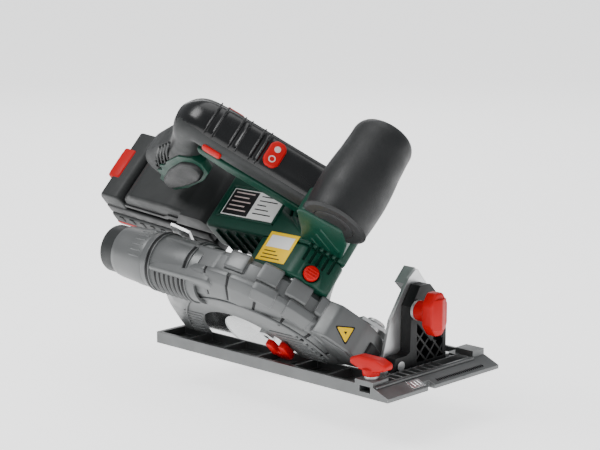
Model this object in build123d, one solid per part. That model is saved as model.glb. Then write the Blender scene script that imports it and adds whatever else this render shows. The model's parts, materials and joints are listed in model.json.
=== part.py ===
"""Cordless circular saw with a tilting, depth-adjustable head, modelled in millimetres.

+X is the cutting direction, +Y the saw's left and +Z up.  The origin lies on the sole, on the
line of the bevel axis.  The head is drawn upright and is turned to its 45 degree bevel when it
is written, so the parts meet as they do in a bevel cut at full depth.
"""
import os
from math import atan2, cos, degrees, radians, sin, tan

from build123d import *

# ---- driving dimensions -------------------------------------------------------------------
BASE_FRONT, BASE_REAR = 30.0, -225.5        # sole plate ends along X
BASE_RIGHT, BASE_LEFT = -50.0, 83.7         # sole plate sides along Y
BASE_HEIGHT, BASE_FLOOR, BASE_WALL = 9.5, 3.0, 3.0
SLOT_REAR, SLOT_FRONT, SLOT_RIGHT, SLOT_LEFT = -217.5, -38.0, -19.0, 26.5
LIP_START, LIP_TIP = 18.0, 3.0              # front lip: where it starts to slope, height at its tip

PIVOT_Z = 12.7                              # height of the bevel axis over the sole
BEVEL = 45.0                                # stored bevel angle
BEVEL_BOLT_R, BEVEL_BOLT_ANGLE = 45.5, 22.0  # clamp bolt about the bevel axis, head upright
DEPTH_X, DEPTH_Z = -22.0, 38.0              # depth pivot

BLADE_X, BLADE_Z = -130.0, 26.3             # arbor, head upright
BLADE_R, BLADE_T, BLADE_TEETH = 82.5, 1.6, 24
ARBOR_R = 10.0                              # blade bore radius

GUARD_R, GUARD_IN_R = 95.0, 88.0
GUARD_RIGHT, GUARD_LEFT, GUARD_WALL = -22.0, 12.0, 2.5
LOWER_R, LOWER_T = 86.5, 1.5                # lower guard rim and its sheet
LOWER_RIGHT, LOWER_LEFT = -14.2, 8.4
LOWER_START, LOWER_SPAN = 14.0, 180.0       # retracted lower guard: first angle and sweep
NOSE_R = 17.0                               # gearbox nose that carries the lower guard

GEAR_M = 1.0
OUT_TEETH, LAY_PINION_TEETH, LAY_TEETH, MOTOR_TEETH = 36, 20, 30, 10
LAY_ANGLE, MOTOR_ANGLE = 45.0, 90.0          # layshaft about the arbor, motor about the layshaft
GEARBOX_Y, MOTOR_Y, MOTOR_END_Y = 12.0, 40.0, 100.0
HOUSING_TOP = 104.0                         # flat top of the gear case and motor housing, head upright

PORT_Y, PORT_R, PORT_TILT = -5.0, 21.0, 6.5  # dust port axis and radius
PORT_X, PORT_Z, PORT_L = -200.0, 107.0, 45.0

HANDLE_Y, HANDLE_HALF = 82.0, 18.0          # handle mid plane and half width
WALL = 3.0                                  # moulded wall thickness
BARREL_X, BARREL_Z = -23.0, 132.5           # front handle axis
BARREL_START, BARREL_END, BARREL_R = 45.0, 136.0, 27.5

BATT_PIVOT_X, BATT_PIVOT_Z, BATT_TILT = -330.0, 70.0, -9.0
BATT_X0, BATT_X1, BATT_Z0, BATT_Z1 = -325.0, -205.0, 62.0, 92.0
BATT_HALF = 36.0
CLEAR = 0.3                                 # gap between pieces that move on each other
RUN = 0.05                                  # radial running clearance of pins and shafts

FENCE_SLOT_X, FENCE_SLOT_Z = (1.5, 12.5), (4.0, 9.0)
FENCE_SCREW = (5.5, -41.0)
QUADRANT_SCREWS = [(-5.0, -15.0), (-5.0, 59.0)]
QUADRANT_X0, QUADRANT_X1 = -10.0, 0.0
LUG_COUNT, LUG_START, LUG_STEP = 8, 24.0, 19.0
WINDOW_R = 52.0                             # opening in the upper guard's right flank
LEVER_ANGLE, LEVER_R = 20.0, 42.0           # guard lever about the arbor
DEPTH_LOCK = (-205.0, 34.0)
DEPTH_TRAVEL = 22.0                         # degrees of head travel on the depth guide
STATOR_R = 32.0
HOUSING_VENTS, CAP_VENTS, FAN_BLADES = 5, 12, 11
LOCK_OFF = (-134.6, 177.5)                  # centre of the thumb bar through the handle
LIGHT_BUTTON = (-93.0, 157.0)
SLOPE = 45.0                                # handle bar's slope
SPINDLE_LOCK = (-55.5, 20.0, 93.5)

centre_distance_out = GEAR_M * (OUT_TEETH + LAY_PINION_TEETH) / 2
centre_distance_in = GEAR_M * (LAY_TEETH + MOTOR_TEETH) / 2
LAY_X = BLADE_X + centre_distance_out * cos(radians(LAY_ANGLE))
LAY_Z = BLADE_Z + centre_distance_out * sin(radians(LAY_ANGLE))
MOTOR_X = LAY_X + centre_distance_in * cos(radians(MOTOR_ANGLE))
MOTOR_Z = LAY_Z + centre_distance_in * sin(radians(MOTOR_ANGLE))

BEVEL_BOLT = (BEVEL_BOLT_R * cos(radians(BEVEL_BOLT_ANGLE)),
              PIVOT_Z + BEVEL_BOLT_R * sin(radians(BEVEL_BOLT_ANGLE)))
DEPTH_R = ((DEPTH_LOCK[0] - DEPTH_X) ** 2 + (DEPTH_LOCK[1] - DEPTH_Z) ** 2) ** 0.5
DEPTH_ANGLE = degrees(atan2(DEPTH_LOCK[1] - DEPTH_Z, DEPTH_LOCK[0] - DEPTH_X)) % 360

HEAD_TURN = Pos(0, 0, PIVOT_Z) * Rot(BEVEL, 0, 0) * Pos(0, 0, -PIVOT_Z)
BATTERY_TURN = (Pos(BATT_PIVOT_X, 0, BATT_PIVOT_Z) * Rot(0, -BATT_TILT, 0)
                * Pos(-BATT_PIVOT_X, 0, -BATT_PIVOT_Z))


# ---- drawing helpers ----------------------------------------------------------------------
def box(x0, x1, y0, y1, z0, z1):
    """Box between two corners."""
    return Pos((x0 + x1) / 2, (y0 + y1) / 2, (z0 + z1) / 2) * Box(x1 - x0, y1 - y0, z1 - z0)


def group(pieces):
    """Separate solids kept together as one sub-part."""
    return Compound([solid for piece in pieces for solid in piece.solids()])


def rod_x(y, z, r, x0, x1):
    """Cylinder along X."""
    return Pos((x0 + x1) / 2, y, z) * Rot(0, 90, 0) * Cylinder(r, x1 - x0)


def rod_y(x, z, r, y0, y1):
    """Cylinder along Y."""
    return Pos(x, (y0 + y1) / 2, z) * Rot(90, 0, 0) * Cylinder(r, y1 - y0)


def rod_z(x, y, r, z0, z1):
    """Cylinder along Z."""
    return Pos(x, y, (z0 + z1) / 2) * Cylinder(r, z1 - z0)


def outline_xz(points, radius=0.0):
    """Closed outline in the XZ plane with its corners rounded."""
    face = Plane.XZ * Polygon(*points, align=None)
    return fillet(face.vertices(), radius) if radius else face


def slab_y(face, y0, y1):
    """An XZ outline thickened from y0 to y1."""
    return extrude(Pos(0, y0, 0) * face, amount=y1 - y0, dir=(0, 1, 0))


def prism_y(points, y0, y1, radius=0.0):
    return slab_y(outline_xz(points, radius), y0, y1)


def prism_x(points, x0, x1, radius=0.0):
    """A YZ outline thickened from x0 to x1."""
    face = Plane.YZ * Polygon(*points, align=None)
    if radius:
        face = fillet(face.vertices(), radius)
    return extrude(Pos(x0, 0, 0) * face, amount=x1 - x0, dir=(1, 0, 0))


def ring_y(x, z, r_out, r_in, y0, y1):
    return rod_y(x, z, r_out, y0, y1) - rod_y(x, z, r_in, y0 - 1, y1 + 1)


def polar(x, z, r, angle):
    """Point at an angle about an axis along Y, from +X towards +Z."""
    return (x + r * cos(radians(angle)), z + r * sin(radians(angle)))


def sector_points(x, z, r_in, r_out, start, sweep, steps=24):
    """Ring sector as a polygon, kept clear of the rims it bounds."""
    angles = [start + sweep * i / steps for i in range(steps + 1)]
    outer = [polar(x, z, r_out, a) for a in angles]
    inner = [polar(x, z, r_in, a) for a in reversed(angles)] if r_in else [(x, z)]
    return outer + inner


def gear(x, z, teeth, y0, y1, bore, phase=0.0):
    """Spur gear along Y with straight-flanked teeth and backlash."""
    pitch_r, step = GEAR_M * teeth / 2, 360.0 / teeth
    root_r, tip_r = pitch_r - 1.25 * GEAR_M, pitch_r + 0.9 * GEAR_M
    root_half, pitch_half, tip_half = 0.27 * step, 0.205 * step, 0.10 * step
    points = []
    for i in range(teeth):
        mid = phase + i * step
        for radius, offset in ((root_r, -root_half), (pitch_r, -pitch_half), (tip_r, -tip_half),
                               (tip_r, tip_half), (pitch_r, pitch_half), (root_r, root_half)):
            points.append(polar(x, z, radius, mid + offset))
    return prism_y(points, y0, y1) - rod_y(x, z, bore, y0 - 1, y1 + 1)


def revolve_y(x, z, profile):
    """Solid turned about an axis along Y, from (radius, y) points."""
    face = Plane.XY * Polygon(*[(x + r, y) for r, y in profile], align=None)
    return revolve(Pos(0, 0, z) * face, axis=Axis((x, 0, z), (0, 1, 0)))


def head_floor():
    """Everything under the head's two clearance planes: level, and level at full bevel."""
    level = box(-500, 200, -200, 300, -200, 11.5)
    slanted = prism_x([(-200, -200), (-0.5, -200), (-0.5, 11.5), (-200, 211.0)], -500, 200)
    return level + slanted


# ---- base group ---------------------------------------------------------------------------
def base_plate():
    """Sole plate: floor, raised rim, ribs, sloping front lip, blade slot and fence slots."""
    side = [(BASE_REAR, 0), (BASE_FRONT, 0), (BASE_FRONT, LIP_TIP), (LIP_START, BASE_HEIGHT - 1.5),
            (LIP_START - 4, BASE_HEIGHT), (BASE_REAR, BASE_HEIGHT)]
    plate = prism_y(side, BASE_RIGHT, BASE_LEFT)
    pocket_ends = [BASE_REAR + BASE_WALL, -190, -150, -110, -70, -34, -8]
    for x0, x1 in zip(pocket_ends, pocket_ends[1:]):
        plate -= box(x0 + 1, x1 - 1, BASE_RIGHT + BASE_WALL, SLOT_RIGHT - 2, BASE_FLOOR, 20)
        plate -= box(x0 + 1, x1 - 1, SLOT_LEFT + 15, BASE_LEFT - BASE_WALL, BASE_FLOOR, 20)
    plate -= box(BASE_REAR + BASE_WALL, -34, SLOT_LEFT + 2, SLOT_LEFT + 13, BASE_FLOOR, 20)
    plate -= box(SLOT_REAR, SLOT_FRONT, SLOT_RIGHT, SLOT_LEFT, -1, 20)
    plate -= box(BASE_REAR + BASE_WALL, SLOT_REAR + 1, SLOT_RIGHT + 2, SLOT_LEFT + 13,
                 BASE_FLOOR, 20)
    plate -= box(SLOT_FRONT - 1, -8, SLOT_RIGHT + 1, SLOT_LEFT + 13, BASE_FLOOR, 20)
    plate -= box(-158, -98, SLOT_LEFT - 1, SLOT_LEFT + 17, BASE_FLOOR, 20)
    plate -= box(-12, 0.6, -24, 66, BASE_FLOOR, 20)
    plate -= box(24, 40, -3, 5, -1, 20)
    rear_lug = rod_x(0, PIVOT_Z, 9, BASE_REAR, BASE_REAR + BASE_WALL)
    plate += box(BASE_REAR, BASE_REAR + BASE_WALL, -9, 9, 5, 17) + rear_lug
    plate -= rod_x(0, PIVOT_Z, 3, BASE_REAR - 1, BASE_REAR + BASE_WALL + 1)
    plate += box(-3, 15, BASE_RIGHT, BASE_RIGHT + 18, 0, 13)
    plate += box(-3, 15, BASE_LEFT - 14, BASE_LEFT, 0, 14)
    plate -= box(*FENCE_SLOT_X, BASE_RIGHT - 1, BASE_LEFT + 1, *FENCE_SLOT_Z)
    plate -= box(*FENCE_SLOT_X, BASE_RIGHT + 18, BASE_LEFT - 14, FENCE_SLOT_Z[0], 20)
    plate -= rod_z(FENCE_SCREW[0], FENCE_SCREW[1], 3.2, 8, 20)
    plate -= box(-40, -37.8, SLOT_RIGHT + 1, SLOT_LEFT + 13, BASE_FLOOR, 20)
    for x, y in QUADRANT_SCREWS:
        plate -= rod_z(x, y, 2.0, -1, 10)
    return plate


def quadrant_outline():
    """Front view of the quadrant: a foot on the sole and a tall arch over the clamp bolt."""
    return [(-20, 3), (64, 3), (64, 9), (54, 9), (54, 36), (44, 62), (34, 72.5), (22, 73),
            (11.5, 58), (10.5, 22), (6.5, 20), (-6.5, 20), (-10, 9), (-20, 9)]


def bevel_quadrant():
    """Upright quadrant with the front pivot hole, an arc slot and a lattice of ribs in front."""
    x0, x1 = QUADRANT_X0, QUADRANT_X1
    body = prism_x(quadrant_outline(), x0, x1, 1.2)
    window = [(18.5, 12), (50, 12), (50, 34), (45, 36), (36, 26), (18.5, 44)]
    body -= prism_x(window, x0 + 3, x1 + 1)
    body -= rod_x(0, PIVOT_Z, 4, x0 - 1, x1 + 1)
    ribs = [((18, 14), (38, 34)), ((18, 26), (30, 38)), ((30, 12), (46, 30)), ((42, 12), (51, 22)),
            ((50, 14), (30, 36)), ((42, 11), (18, 36)), ((31, 11), (18, 24)), ((51, 26), (42, 35))]
    lattice = prism_x(window, x0 + 3, x1 - 0.5)
    for start, end in ribs:
        body += lattice & rib_x(start, end, x0 + 3, x1 - 0.5)
    body -= arc_slot(x0 - 1, x1 + 1, BEVEL_BOLT_R, 3.0 + 2 * CLEAR,
                     BEVEL_BOLT_ANGLE - 1, BEVEL_BOLT_ANGLE + BEVEL + 1)
    for x, y in QUADRANT_SCREWS:
        body -= rod_z(x, y, 2.0, 0, 9)
    return body


def rib_x(start, end, x0, x1, width=1.6):
    """Straight rib in the YZ plane."""
    (ya, za), (yb, zb) = start, end
    length = ((yb - ya) ** 2 + (zb - za) ** 2) ** 0.5
    angle = degrees(atan2(zb - za, yb - ya))
    middle = Pos((x0 + x1) / 2, (ya + yb) / 2, (za + zb) / 2)
    return middle * Rot(angle, 0, 0) * Box(x1 - x0, length, width)


def arc_slot(x0, x1, radius, half, start, end):
    """Curved slot about the bevel axis, with round ends, along X."""
    middle = CenterArc((0, PIVOT_Z), radius, start, end - start)
    face = Plane.YZ * make_face(offset(middle, half).edges())
    return extrude(Pos(x0, 0, 0) * face, amount=x1 - x0, dir=(1, 0, 0))


def bevel_pins():
    """Front and rear bevel pivot pins."""
    front = rod_x(0, PIVOT_Z, 4, -14.4, 0.4)
    rear = rod_x(0, PIVOT_Z, 3, BASE_REAR, -218.6)
    return group([front, rear])


def quadrant_screws():
    screws = []
    for x, y in QUADRANT_SCREWS:
        screws.append(rod_z(x, y, 2.0, 0.5, 9) + rod_z(x, y, 3.6, 9, 11.5))
    return group(screws)


def cut_sight():
    """Small bright sight plate beside the notch."""
    slope = atan2(BASE_HEIGHT - 1.5 - LIP_TIP, BASE_FRONT - LIP_START)
    x, y, half = 24.0, -11.0, 0.5
    z = LIP_TIP + (BASE_FRONT - x) * tan(slope)
    plate = Box(9, 14, 2 * half)
    for i in range(3):
        plate -= Pos(0, 3.5 * (i - 1), half) * Box(6, 1.2, 0.5)
    return Pos(x + half * sin(slope), y, z + half * cos(slope)) * Rot(0, degrees(slope), 0) * plate


def fence_stud():
    x, y = FENCE_SCREW
    return rod_z(x, y, 3.0, 9.3, 24) + rod_z(x, y, 5.5, 13.2, 15.2)


def fence_knob():
    """Winged red knob that clamps the fence bar."""
    x, y = FENCE_SCREW
    wing = [(x - 18, 27.5), (x - 18, 23), (x - 9, 19.5), (x + 9, 19.5), (x + 18, 23),
            (x + 18, 27.5), (x + 10, 30), (x - 10, 30)]
    knob = prism_y(wing, y - 5, y + 5, 2) + rod_z(x, y, 6.5, 15.4, 21)
    return knob - rod_z(x, y, 3.0, 10, 24)


# ---- bevel carriage -----------------------------------------------------------------------
def bevel_arm():
    """Pressed steel arm from the front pivot to the clamp bolt, with the depth pivot's ear."""
    x0, x1 = -13.4, -10.6
    plate = prism_x([(-8, 12), (0, 4.6), (9, 10), (70, 22), (72, 42), (60, 44), (24, 38), (2, 26),
                     (-7, 20)], x0, x1, 2.5)
    ear = prism_y([(-34, 30), (-30, 26), (x0 + 0.5, 18), (x0 + 0.5, 36), (-26, 50), (-34, 46)],
                  14.2, 17.0)
    loop = box(-24, x0 + 0.5, 56, 72, 22.5, 42) - box(-30, x0, 59, 69, 26, 38.5)
    arm = plate + ear + loop
    arm -= rod_x(0, PIVOT_Z, 4 + RUN, -20, 0)
    arm -= rod_y(DEPTH_X, DEPTH_Z, 5 + RUN, 10, 20)
    y, z = BEVEL_BOLT
    return arm - rod_x(y, z, 3 + RUN, -20, 0)


def bevel_bolt():
    y, z = BEVEL_BOLT
    return rod_x(y, z, 3, -16, 22) + rod_x(y, z, 5.5, -17, -13.7) + rod_x(y, z, 8, 0.4, 2.4)


def bevel_knob():
    """Six-sided wing knob on the bevel clamp bolt."""
    y, z = BEVEL_BOLT
    wing = [(-10, 8), (-4, 17), (4, 17), (10, 8), (10, -8), (4, -17), (-4, -17), (-10, -8)]
    turn = Pos(0, y, z) * Rot(-BEVEL, 0, 0)
    body = turn * prism_x(wing, 13, 26, 1.2) + rod_x(y, z, 8, 2.7, 14)
    return body - rod_x(y, z, 3, 0, 22)


def depth_guide():
    """Rear pivot tab with the slotted depth guide, curved about the depth pivot."""
    tab = rod_x(0, PIVOT_Z, 8.2, -222.2, -219.7)
    tab += box(-222.2, -219.7, 0, 25, 12.5, 20.9)
    strip = prism_y(depth_sector(DEPTH_R - 9, DEPTH_R + 9, 184.0, 154.0), 22.5, 25)
    strip += box(-222.2, -200, 22.5, 25, 12.5, 27)
    slot = prism_y(depth_sector(DEPTH_R - 3.3, DEPTH_R + 3.3, DEPTH_ANGLE + 1.2,
                                DEPTH_ANGLE - DEPTH_TRAVEL - 1.2), 20, 30)
    return tab + strip - slot - rod_x(0, PIVOT_Z, 3 + RUN, -230, -210)


def depth_sector(r_in, r_out, start, end):
    return sector_points(DEPTH_X, DEPTH_Z, r_in, r_out, start, end - start, 16)


def depth_lever():
    """Lock lever on the depth stud."""
    x, z = DEPTH_LOCK
    hub = rod_y(x, z, 9, 25.4, 34)
    arm = Pos(x, 29.5, z) * Rot(0, 30, 0) * Pos(-22, 0, 0) * Box(40, 7, 10)
    return hub + arm - rod_y(x, z, 3 + RUN, 20, 40)


def depth_stud():
    x, z = DEPTH_LOCK
    return rod_y(x, z, 3, 14, 37) + rod_y(x, z, 5.5, 34.4, 37)


def depth_pin():
    return rod_y(DEPTH_X, DEPTH_Z, 5, GUARD_LEFT - 3, 17.4) + rod_y(DEPTH_X, DEPTH_Z, 7.5, 17.4, 19.4)


# ---- head: guard, port and laser ----------------------------------------------------------
def guard_blank():
    """Outline volume of the upper guard, with its front nose."""
    blank = rod_y(BLADE_X, BLADE_Z, GUARD_R, GUARD_RIGHT, GUARD_LEFT)
    nose = [(-70, 12), (-20, 12), (-16, 30), (-24, 56), (-38, 76), (-62, 94), (-80, 60)]
    return blank + prism_y(nose, GUARD_RIGHT + 5, GUARD_LEFT, 2)


def upper_guard():
    """Deep shell over the blade, open below and on its right flank, with tread-like lugs."""
    guard = guard_blank()
    for i in range(LUG_COUNT):
        angle = LUG_START + i * LUG_STEP
        for y0, y1, shift in ((GUARD_RIGHT - 1.5, -9, 0.0), (-1, GUARD_LEFT, LUG_STEP / 2)):
            lug = sector_points(BLADE_X, BLADE_Z, GUARD_R - 8, GUARD_R + 3, angle + shift, 11, 4)
            guard += prism_y(lug, y0, y1)
    guard += port_axis_body(PORT_R + 2, -26, 26)
    guard -= rod_y(BLADE_X, BLADE_Z, GUARD_IN_R, GUARD_RIGHT + GUARD_WALL, GUARD_LEFT - GUARD_WALL)
    guard -= rod_y(BLADE_X, BLADE_Z, WINDOW_R, GUARD_RIGHT - 5, GUARD_RIGHT + GUARD_WALL + 1)
    guard -= rod_y(BLADE_X, BLADE_Z, NOSE_R, 0, GUARD_LEFT + 1)
    guard -= port_axis_body(PORT_R - 3.5, -24, 30)
    guard -= laser_space()
    guard -= box(-240, -214, -40, 40, 0, 24)
    guard += rod_y(*DEPTH_LOCK, 7, GUARD_LEFT - 0.5, 22.0) - rod_y(*DEPTH_LOCK, 3, 14, 30)
    guard -= head_floor()
    guard -= rod_y(DEPTH_X, DEPTH_Z, 5, GUARD_LEFT - 3, GUARD_LEFT + 1)
    guard -= port_axis_body(PORT_R + 0.02, -1, PORT_L)
    return guard


def port_axis_body(radius, start, length):
    """Cylinder along the dust port's axis, which climbs slightly to the rear."""
    return (Pos(PORT_X, PORT_Y, PORT_Z) * Rot(0, -90 + PORT_TILT, 0)
            * Pos(0, 0, start + length / 2) * Cylinder(radius, length))


def dust_port():
    """Extraction spigot with a grip collar."""
    port = port_axis_body(PORT_R, 0, PORT_L - 10) + port_axis_body(PORT_R + 1.5, 14, PORT_L - 26)
    return port - port_axis_body(PORT_R - 3.5, -1, PORT_L + 2)


def dust_ring():
    """Dark reducer ring in the port's mouth."""
    ring = port_axis_body(PORT_R - 1.0, PORT_L - 10, 14)
    return ring - port_axis_body(PORT_R - 3.0, PORT_L - 11, 20)


def laser_space():
    return box(-38, -20, -11, 1, 24, 37) + rod_x(-5, 30, 3.6, -21, -10)


def laser_module():
    return box(-37.8, -20.2, -10.8, 0.8, 24.2, 36.8)


def laser_window():
    return rod_x(-5, 30, 3.5, -20, -17)


def lower_guard():
    """Retractable sheet guard: rim, left cheek on the gearbox nose, and narrower right cheek."""
    rim = sector_points(BLADE_X, BLADE_Z, LOWER_R - LOWER_T, LOWER_R, LOWER_START, LOWER_SPAN, 42)
    right = sector_points(BLADE_X, BLADE_Z, 36, LOWER_R, LOWER_START, LOWER_SPAN, 42)
    left = sector_points(BLADE_X, BLADE_Z, NOSE_R + 4, LOWER_R, LOWER_START, LOWER_SPAN, 42)
    guard = prism_y(rim, LOWER_RIGHT, LOWER_LEFT)
    guard += prism_y(right, LOWER_RIGHT, LOWER_RIGHT + LOWER_T)
    guard += prism_y(left, LOWER_LEFT - LOWER_T, LOWER_LEFT)
    guard += rod_y(BLADE_X, BLADE_Z, NOSE_R + 6, LOWER_LEFT - LOWER_T, LOWER_LEFT)
    return guard - rod_y(BLADE_X, BLADE_Z, NOSE_R + RUN, 0, 20)


def guard_lever():
    """Forked thumb lever that draws the lower guard back."""
    x, z = polar(BLADE_X, BLADE_Z, LEVER_R, LEVER_ANGLE)
    stem = rod_y(x, z, 7.5, GUARD_RIGHT - 1.8, LOWER_RIGHT)
    fork = prism_y([(x - 8, z - 6), (x + 3, z - 8), (x + 11, z - 3), (x + 12, z + 13), (x + 6, z + 14),
                    (x + 2, z + 3), (x - 3, z + 14), (x - 9, z + 12)],
                   GUARD_RIGHT - 6.4, GUARD_RIGHT - 1.6, 1.2)
    return stem + fork


def guard_spring():
    """Flat coil that returns the lower guard, round the gearbox nose."""
    return ring_y(BLADE_X, BLADE_Z, NOSE_R + 3, NOSE_R + 0.4,
                  LOWER_LEFT + 0.2, GUARD_LEFT - GUARD_WALL - 0.1)


# ---- head: drive --------------------------------------------------------------------------
def saw_blade():
    """Toothed disc with the arbor hole and expansion slots."""
    step = 360.0 / BLADE_TEETH
    tooth = [(8, 0.02), (0, 0.16), (1.5, 0.42), (5.5, 0.62), (10, 0.82)]  # depth, share of the pitch
    points = []
    for i in range(BLADE_TEETH):
        for depth, turn in tooth:
            points.append(polar(BLADE_X, BLADE_Z, BLADE_R - depth, (i + turn) * step))
    blade = prism_y(points, -BLADE_T / 2, BLADE_T / 2)
    for i in range(4):
        blade -= prism_y(sector_points(BLADE_X, BLADE_Z, 60, BLADE_R + 1, 7 + 90 * i, 1.2, 2), -5, 5)
    return blade - rod_y(BLADE_X, BLADE_Z, ARBOR_R, -5, 5)


def inner_flange():
    flange = rod_y(BLADE_X, BLADE_Z, 20, BLADE_T / 2, 4.5)
    flange += rod_y(BLADE_X, BLADE_Z, ARBOR_R, -BLADE_T / 2, BLADE_T / 2)
    return flange - rod_y(BLADE_X, BLADE_Z, 6, -5, 10)


def outer_flange():
    flange = rod_y(BLADE_X, BLADE_Z, 20, -4.5, -BLADE_T / 2)
    return flange - rod_y(BLADE_X, BLADE_Z, 4, -10, 5)


def blade_bolt():
    head = prism_y([polar(BLADE_X, BLADE_Z, 7.5, 60 * i) for i in range(6)], -9.5, -6.0)
    washer = rod_y(BLADE_X, BLADE_Z, 10, -6.0, -4.5)
    return head + washer + rod_y(BLADE_X, BLADE_Z, 4, -4.6, 14) - rod_y(BLADE_X, BLADE_Z, 2.5, -10, -7)


def spindle():
    shaft = rod_y(BLADE_X, BLADE_Z, 6, -BLADE_T / 2, 27.6) + rod_y(BLADE_X, BLADE_Z, 4, 27.6, 34)
    return shaft - rod_y(BLADE_X, BLADE_Z, 4, -2, 14)


def output_gear():
    return gear(BLADE_X, BLADE_Z, OUT_TEETH, 17, 27, 6, LAY_ANGLE)


def intermediate_gear():
    """Layshaft: pinion for the output gear and wheel for the motor pinion, in one."""
    half = 180.0 / LAY_PINION_TEETH
    pinion = gear(LAY_X, LAY_Z, LAY_PINION_TEETH, 17, 27.6, 3, LAY_ANGLE + 180 + half)
    wheel = gear(LAY_X, LAY_Z, LAY_TEETH, 28.2, 35, 3, MOTOR_ANGLE)
    neck = rod_y(LAY_X, LAY_Z, 7, 27, 28.4)
    return pinion + wheel + neck + rod_y(LAY_X, LAY_Z, 3, 12.6, 39)


def motor_shaft():
    half = 180.0 / MOTOR_TEETH
    pinion = gear(MOTOR_X, MOTOR_Z, MOTOR_TEETH, 28.4, 35.5, 1.5, MOTOR_ANGLE + 180 + half)
    stub = rod_y(MOTOR_X, MOTOR_Z, 1.6, 28.4, 36)
    return pinion + stub + rod_y(MOTOR_X, MOTOR_Z, 4, 36, MOTOR_END_Y - 3)


def rotor():
    return ring_y(MOTOR_X, MOTOR_Z, 21, 4, 50, 78)


def stator():
    body = ring_y(MOTOR_X, MOTOR_Z, STATOR_R, 22, 52, 76)
    for y0, y1 in ((47, 52), (76, 80)):
        body += ring_y(MOTOR_X, MOTOR_Z, STATOR_R - 3, 22.5, y0, y1)
    return body


def cooling_fan():
    fan = ring_y(MOTOR_X, MOTOR_Z, 12, 4, 83, 91) + ring_y(MOTOR_X, MOTOR_Z, 30, 4, 83, 85)
    blade = Pos(20.5, 0, 0) * Box(18, 8, 1.2)
    for i in range(FAN_BLADES):
        fan += Pos(MOTOR_X, 87, MOTOR_Z) * Rot(0, i * 360 / FAN_BLADES, 0) * blade
    return fan


BEARINGS = [  # x, z, outer radius, inner radius, y0, y1
    (BLADE_X, BLADE_Z, 14.0, 6.0, 6.2, 14.2),
    (BLADE_X, BLADE_Z, 9.5, 4.0, 28.0, 34.0),
    (LAY_X, LAY_Z, 6.0, 3.0, 12.6, 16.0),
    (LAY_X, LAY_Z, 6.0, 3.0, 36.2, 39.6),
    (MOTOR_X, MOTOR_Z, 9.0, 4.0, 36.2, 42.0),
    (MOTOR_X, MOTOR_Z, 9.0, 4.0, MOTOR_END_Y - 9, MOTOR_END_Y - 3),
]


def bearings():
    return group([ring_y(x, z, r_out, r_in + RUN, y0, y1) for x, z, r_out, r_in, y0, y1 in BEARINGS])


GEARBOX_OUTLINE = [(-152, 20), (-146, 9), (-134, 5), (-118, 5), (-100, 14), (-84, 34), (-60, 62),
                   (-45, 76), (-45, 83), (-66, HOUSING_TOP), (-114, HOUSING_TOP), (-128, 80),
                   (-157, 56)]


def gearbox_housing():
    """Die-cast gear case with the nose that carries the lower guard."""
    case = prism_y(GEARBOX_OUTLINE, GEARBOX_Y, MOTOR_Y, 2.5)
    case += rod_y(BLADE_X, BLADE_Z, NOSE_R, 5.6, GEARBOX_Y + 1)
    case -= rod_y(BLADE_X, BLADE_Z, 7, 0, 20)
    case -= rod_y(BLADE_X, BLADE_Z, 19.6, 16.5, 27.8)
    case -= rod_y(BLADE_X, BLADE_Z, 6.5, 20, 34.5)
    case -= rod_y(LAY_X, LAY_Z, 11.8, 16.5, 30)
    case -= rod_y(LAY_X, LAY_Z, 16.6, 27.8, 35.8)
    case -= rod_y(LAY_X, LAY_Z, 3.4, 12.4, 39.8)
    case -= rod_y(MOTOR_X, MOTOR_Z, 7, 28, 41)
    for x, z, r_out, _, y0, y1 in BEARINGS[:5]:
        case -= rod_y(x, z, r_out, y0, y1)
    return case - lock_button_space()


def lock_button_space():
    place = Pos(*SPINDLE_LOCK) * Rot(0, 45, 0)
    return place * Pos(0, 0, -0.5) * Cylinder(6.6, 6) + place * Pos(0, 0, -6) * Cylinder(4.0, 14)


def spindle_lock_button():
    """Round red button on the gear case that holds the spindle for a blade change."""
    place = Pos(*SPINDLE_LOCK) * Rot(0, 45, 0)
    return place * Pos(0, 0, 1.4) * Cylinder(6.2, 4.2) + place * Pos(0, 0, -4.5) * Cylinder(3.7, 10)


MOTOR_OUTLINE = [(-132, 28), (-99, 28), (-60, 65), (-45, 76), (-45, 83), (-66, HOUSING_TOP),
                 (-182, HOUSING_TOP), (-184, 74), (-151, 62), (-148, 42)]


def motor_housing():
    """Moulded motor housing with ribbed front, vents and the struts to the handles."""
    body = prism_y(MOTOR_OUTLINE, MOTOR_Y, MOTOR_END_Y, 2.5)
    neck = prism_y([(-80, 100), (-52, 80), (-6, 114), (-30, 136), (-62, 118)], 47, 64, 4)
    body += neck
    body -= rod_y(MOTOR_X, MOTOR_Z, STATOR_R, MOTOR_Y + 3, MOTOR_END_Y + 1)
    body -= rod_y(MOTOR_X, MOTOR_Z, 9, MOTOR_Y - 1, MOTOR_Y + 4)
    body -= box(-178, -134, MOTOR_Y + 3, MOTOR_END_Y - 3, 78, 100)
    for i in range(HOUSING_VENTS):
        x = -118 + 9 * i
        body -= prism_y([(x, 110), (x + 4, 110), (x + 14, 86), (x + 10, 86)], 84, 96)
    body -= barrel_blank()
    for y in (52, 62, 72, 82, 92):
        body -= Pos(-55, y, 94) * Rot(0, 45, 0) * Box(24, 2.4, 3)
    body -= prism_y(bar_outline(), HANDLE_Y - HANDLE_HALF, HANDLE_Y + HANDLE_HALF)
    return body - rod_y(MOTOR_X, MOTOR_Z, 9, 36, MOTOR_Y + 2)


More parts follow.
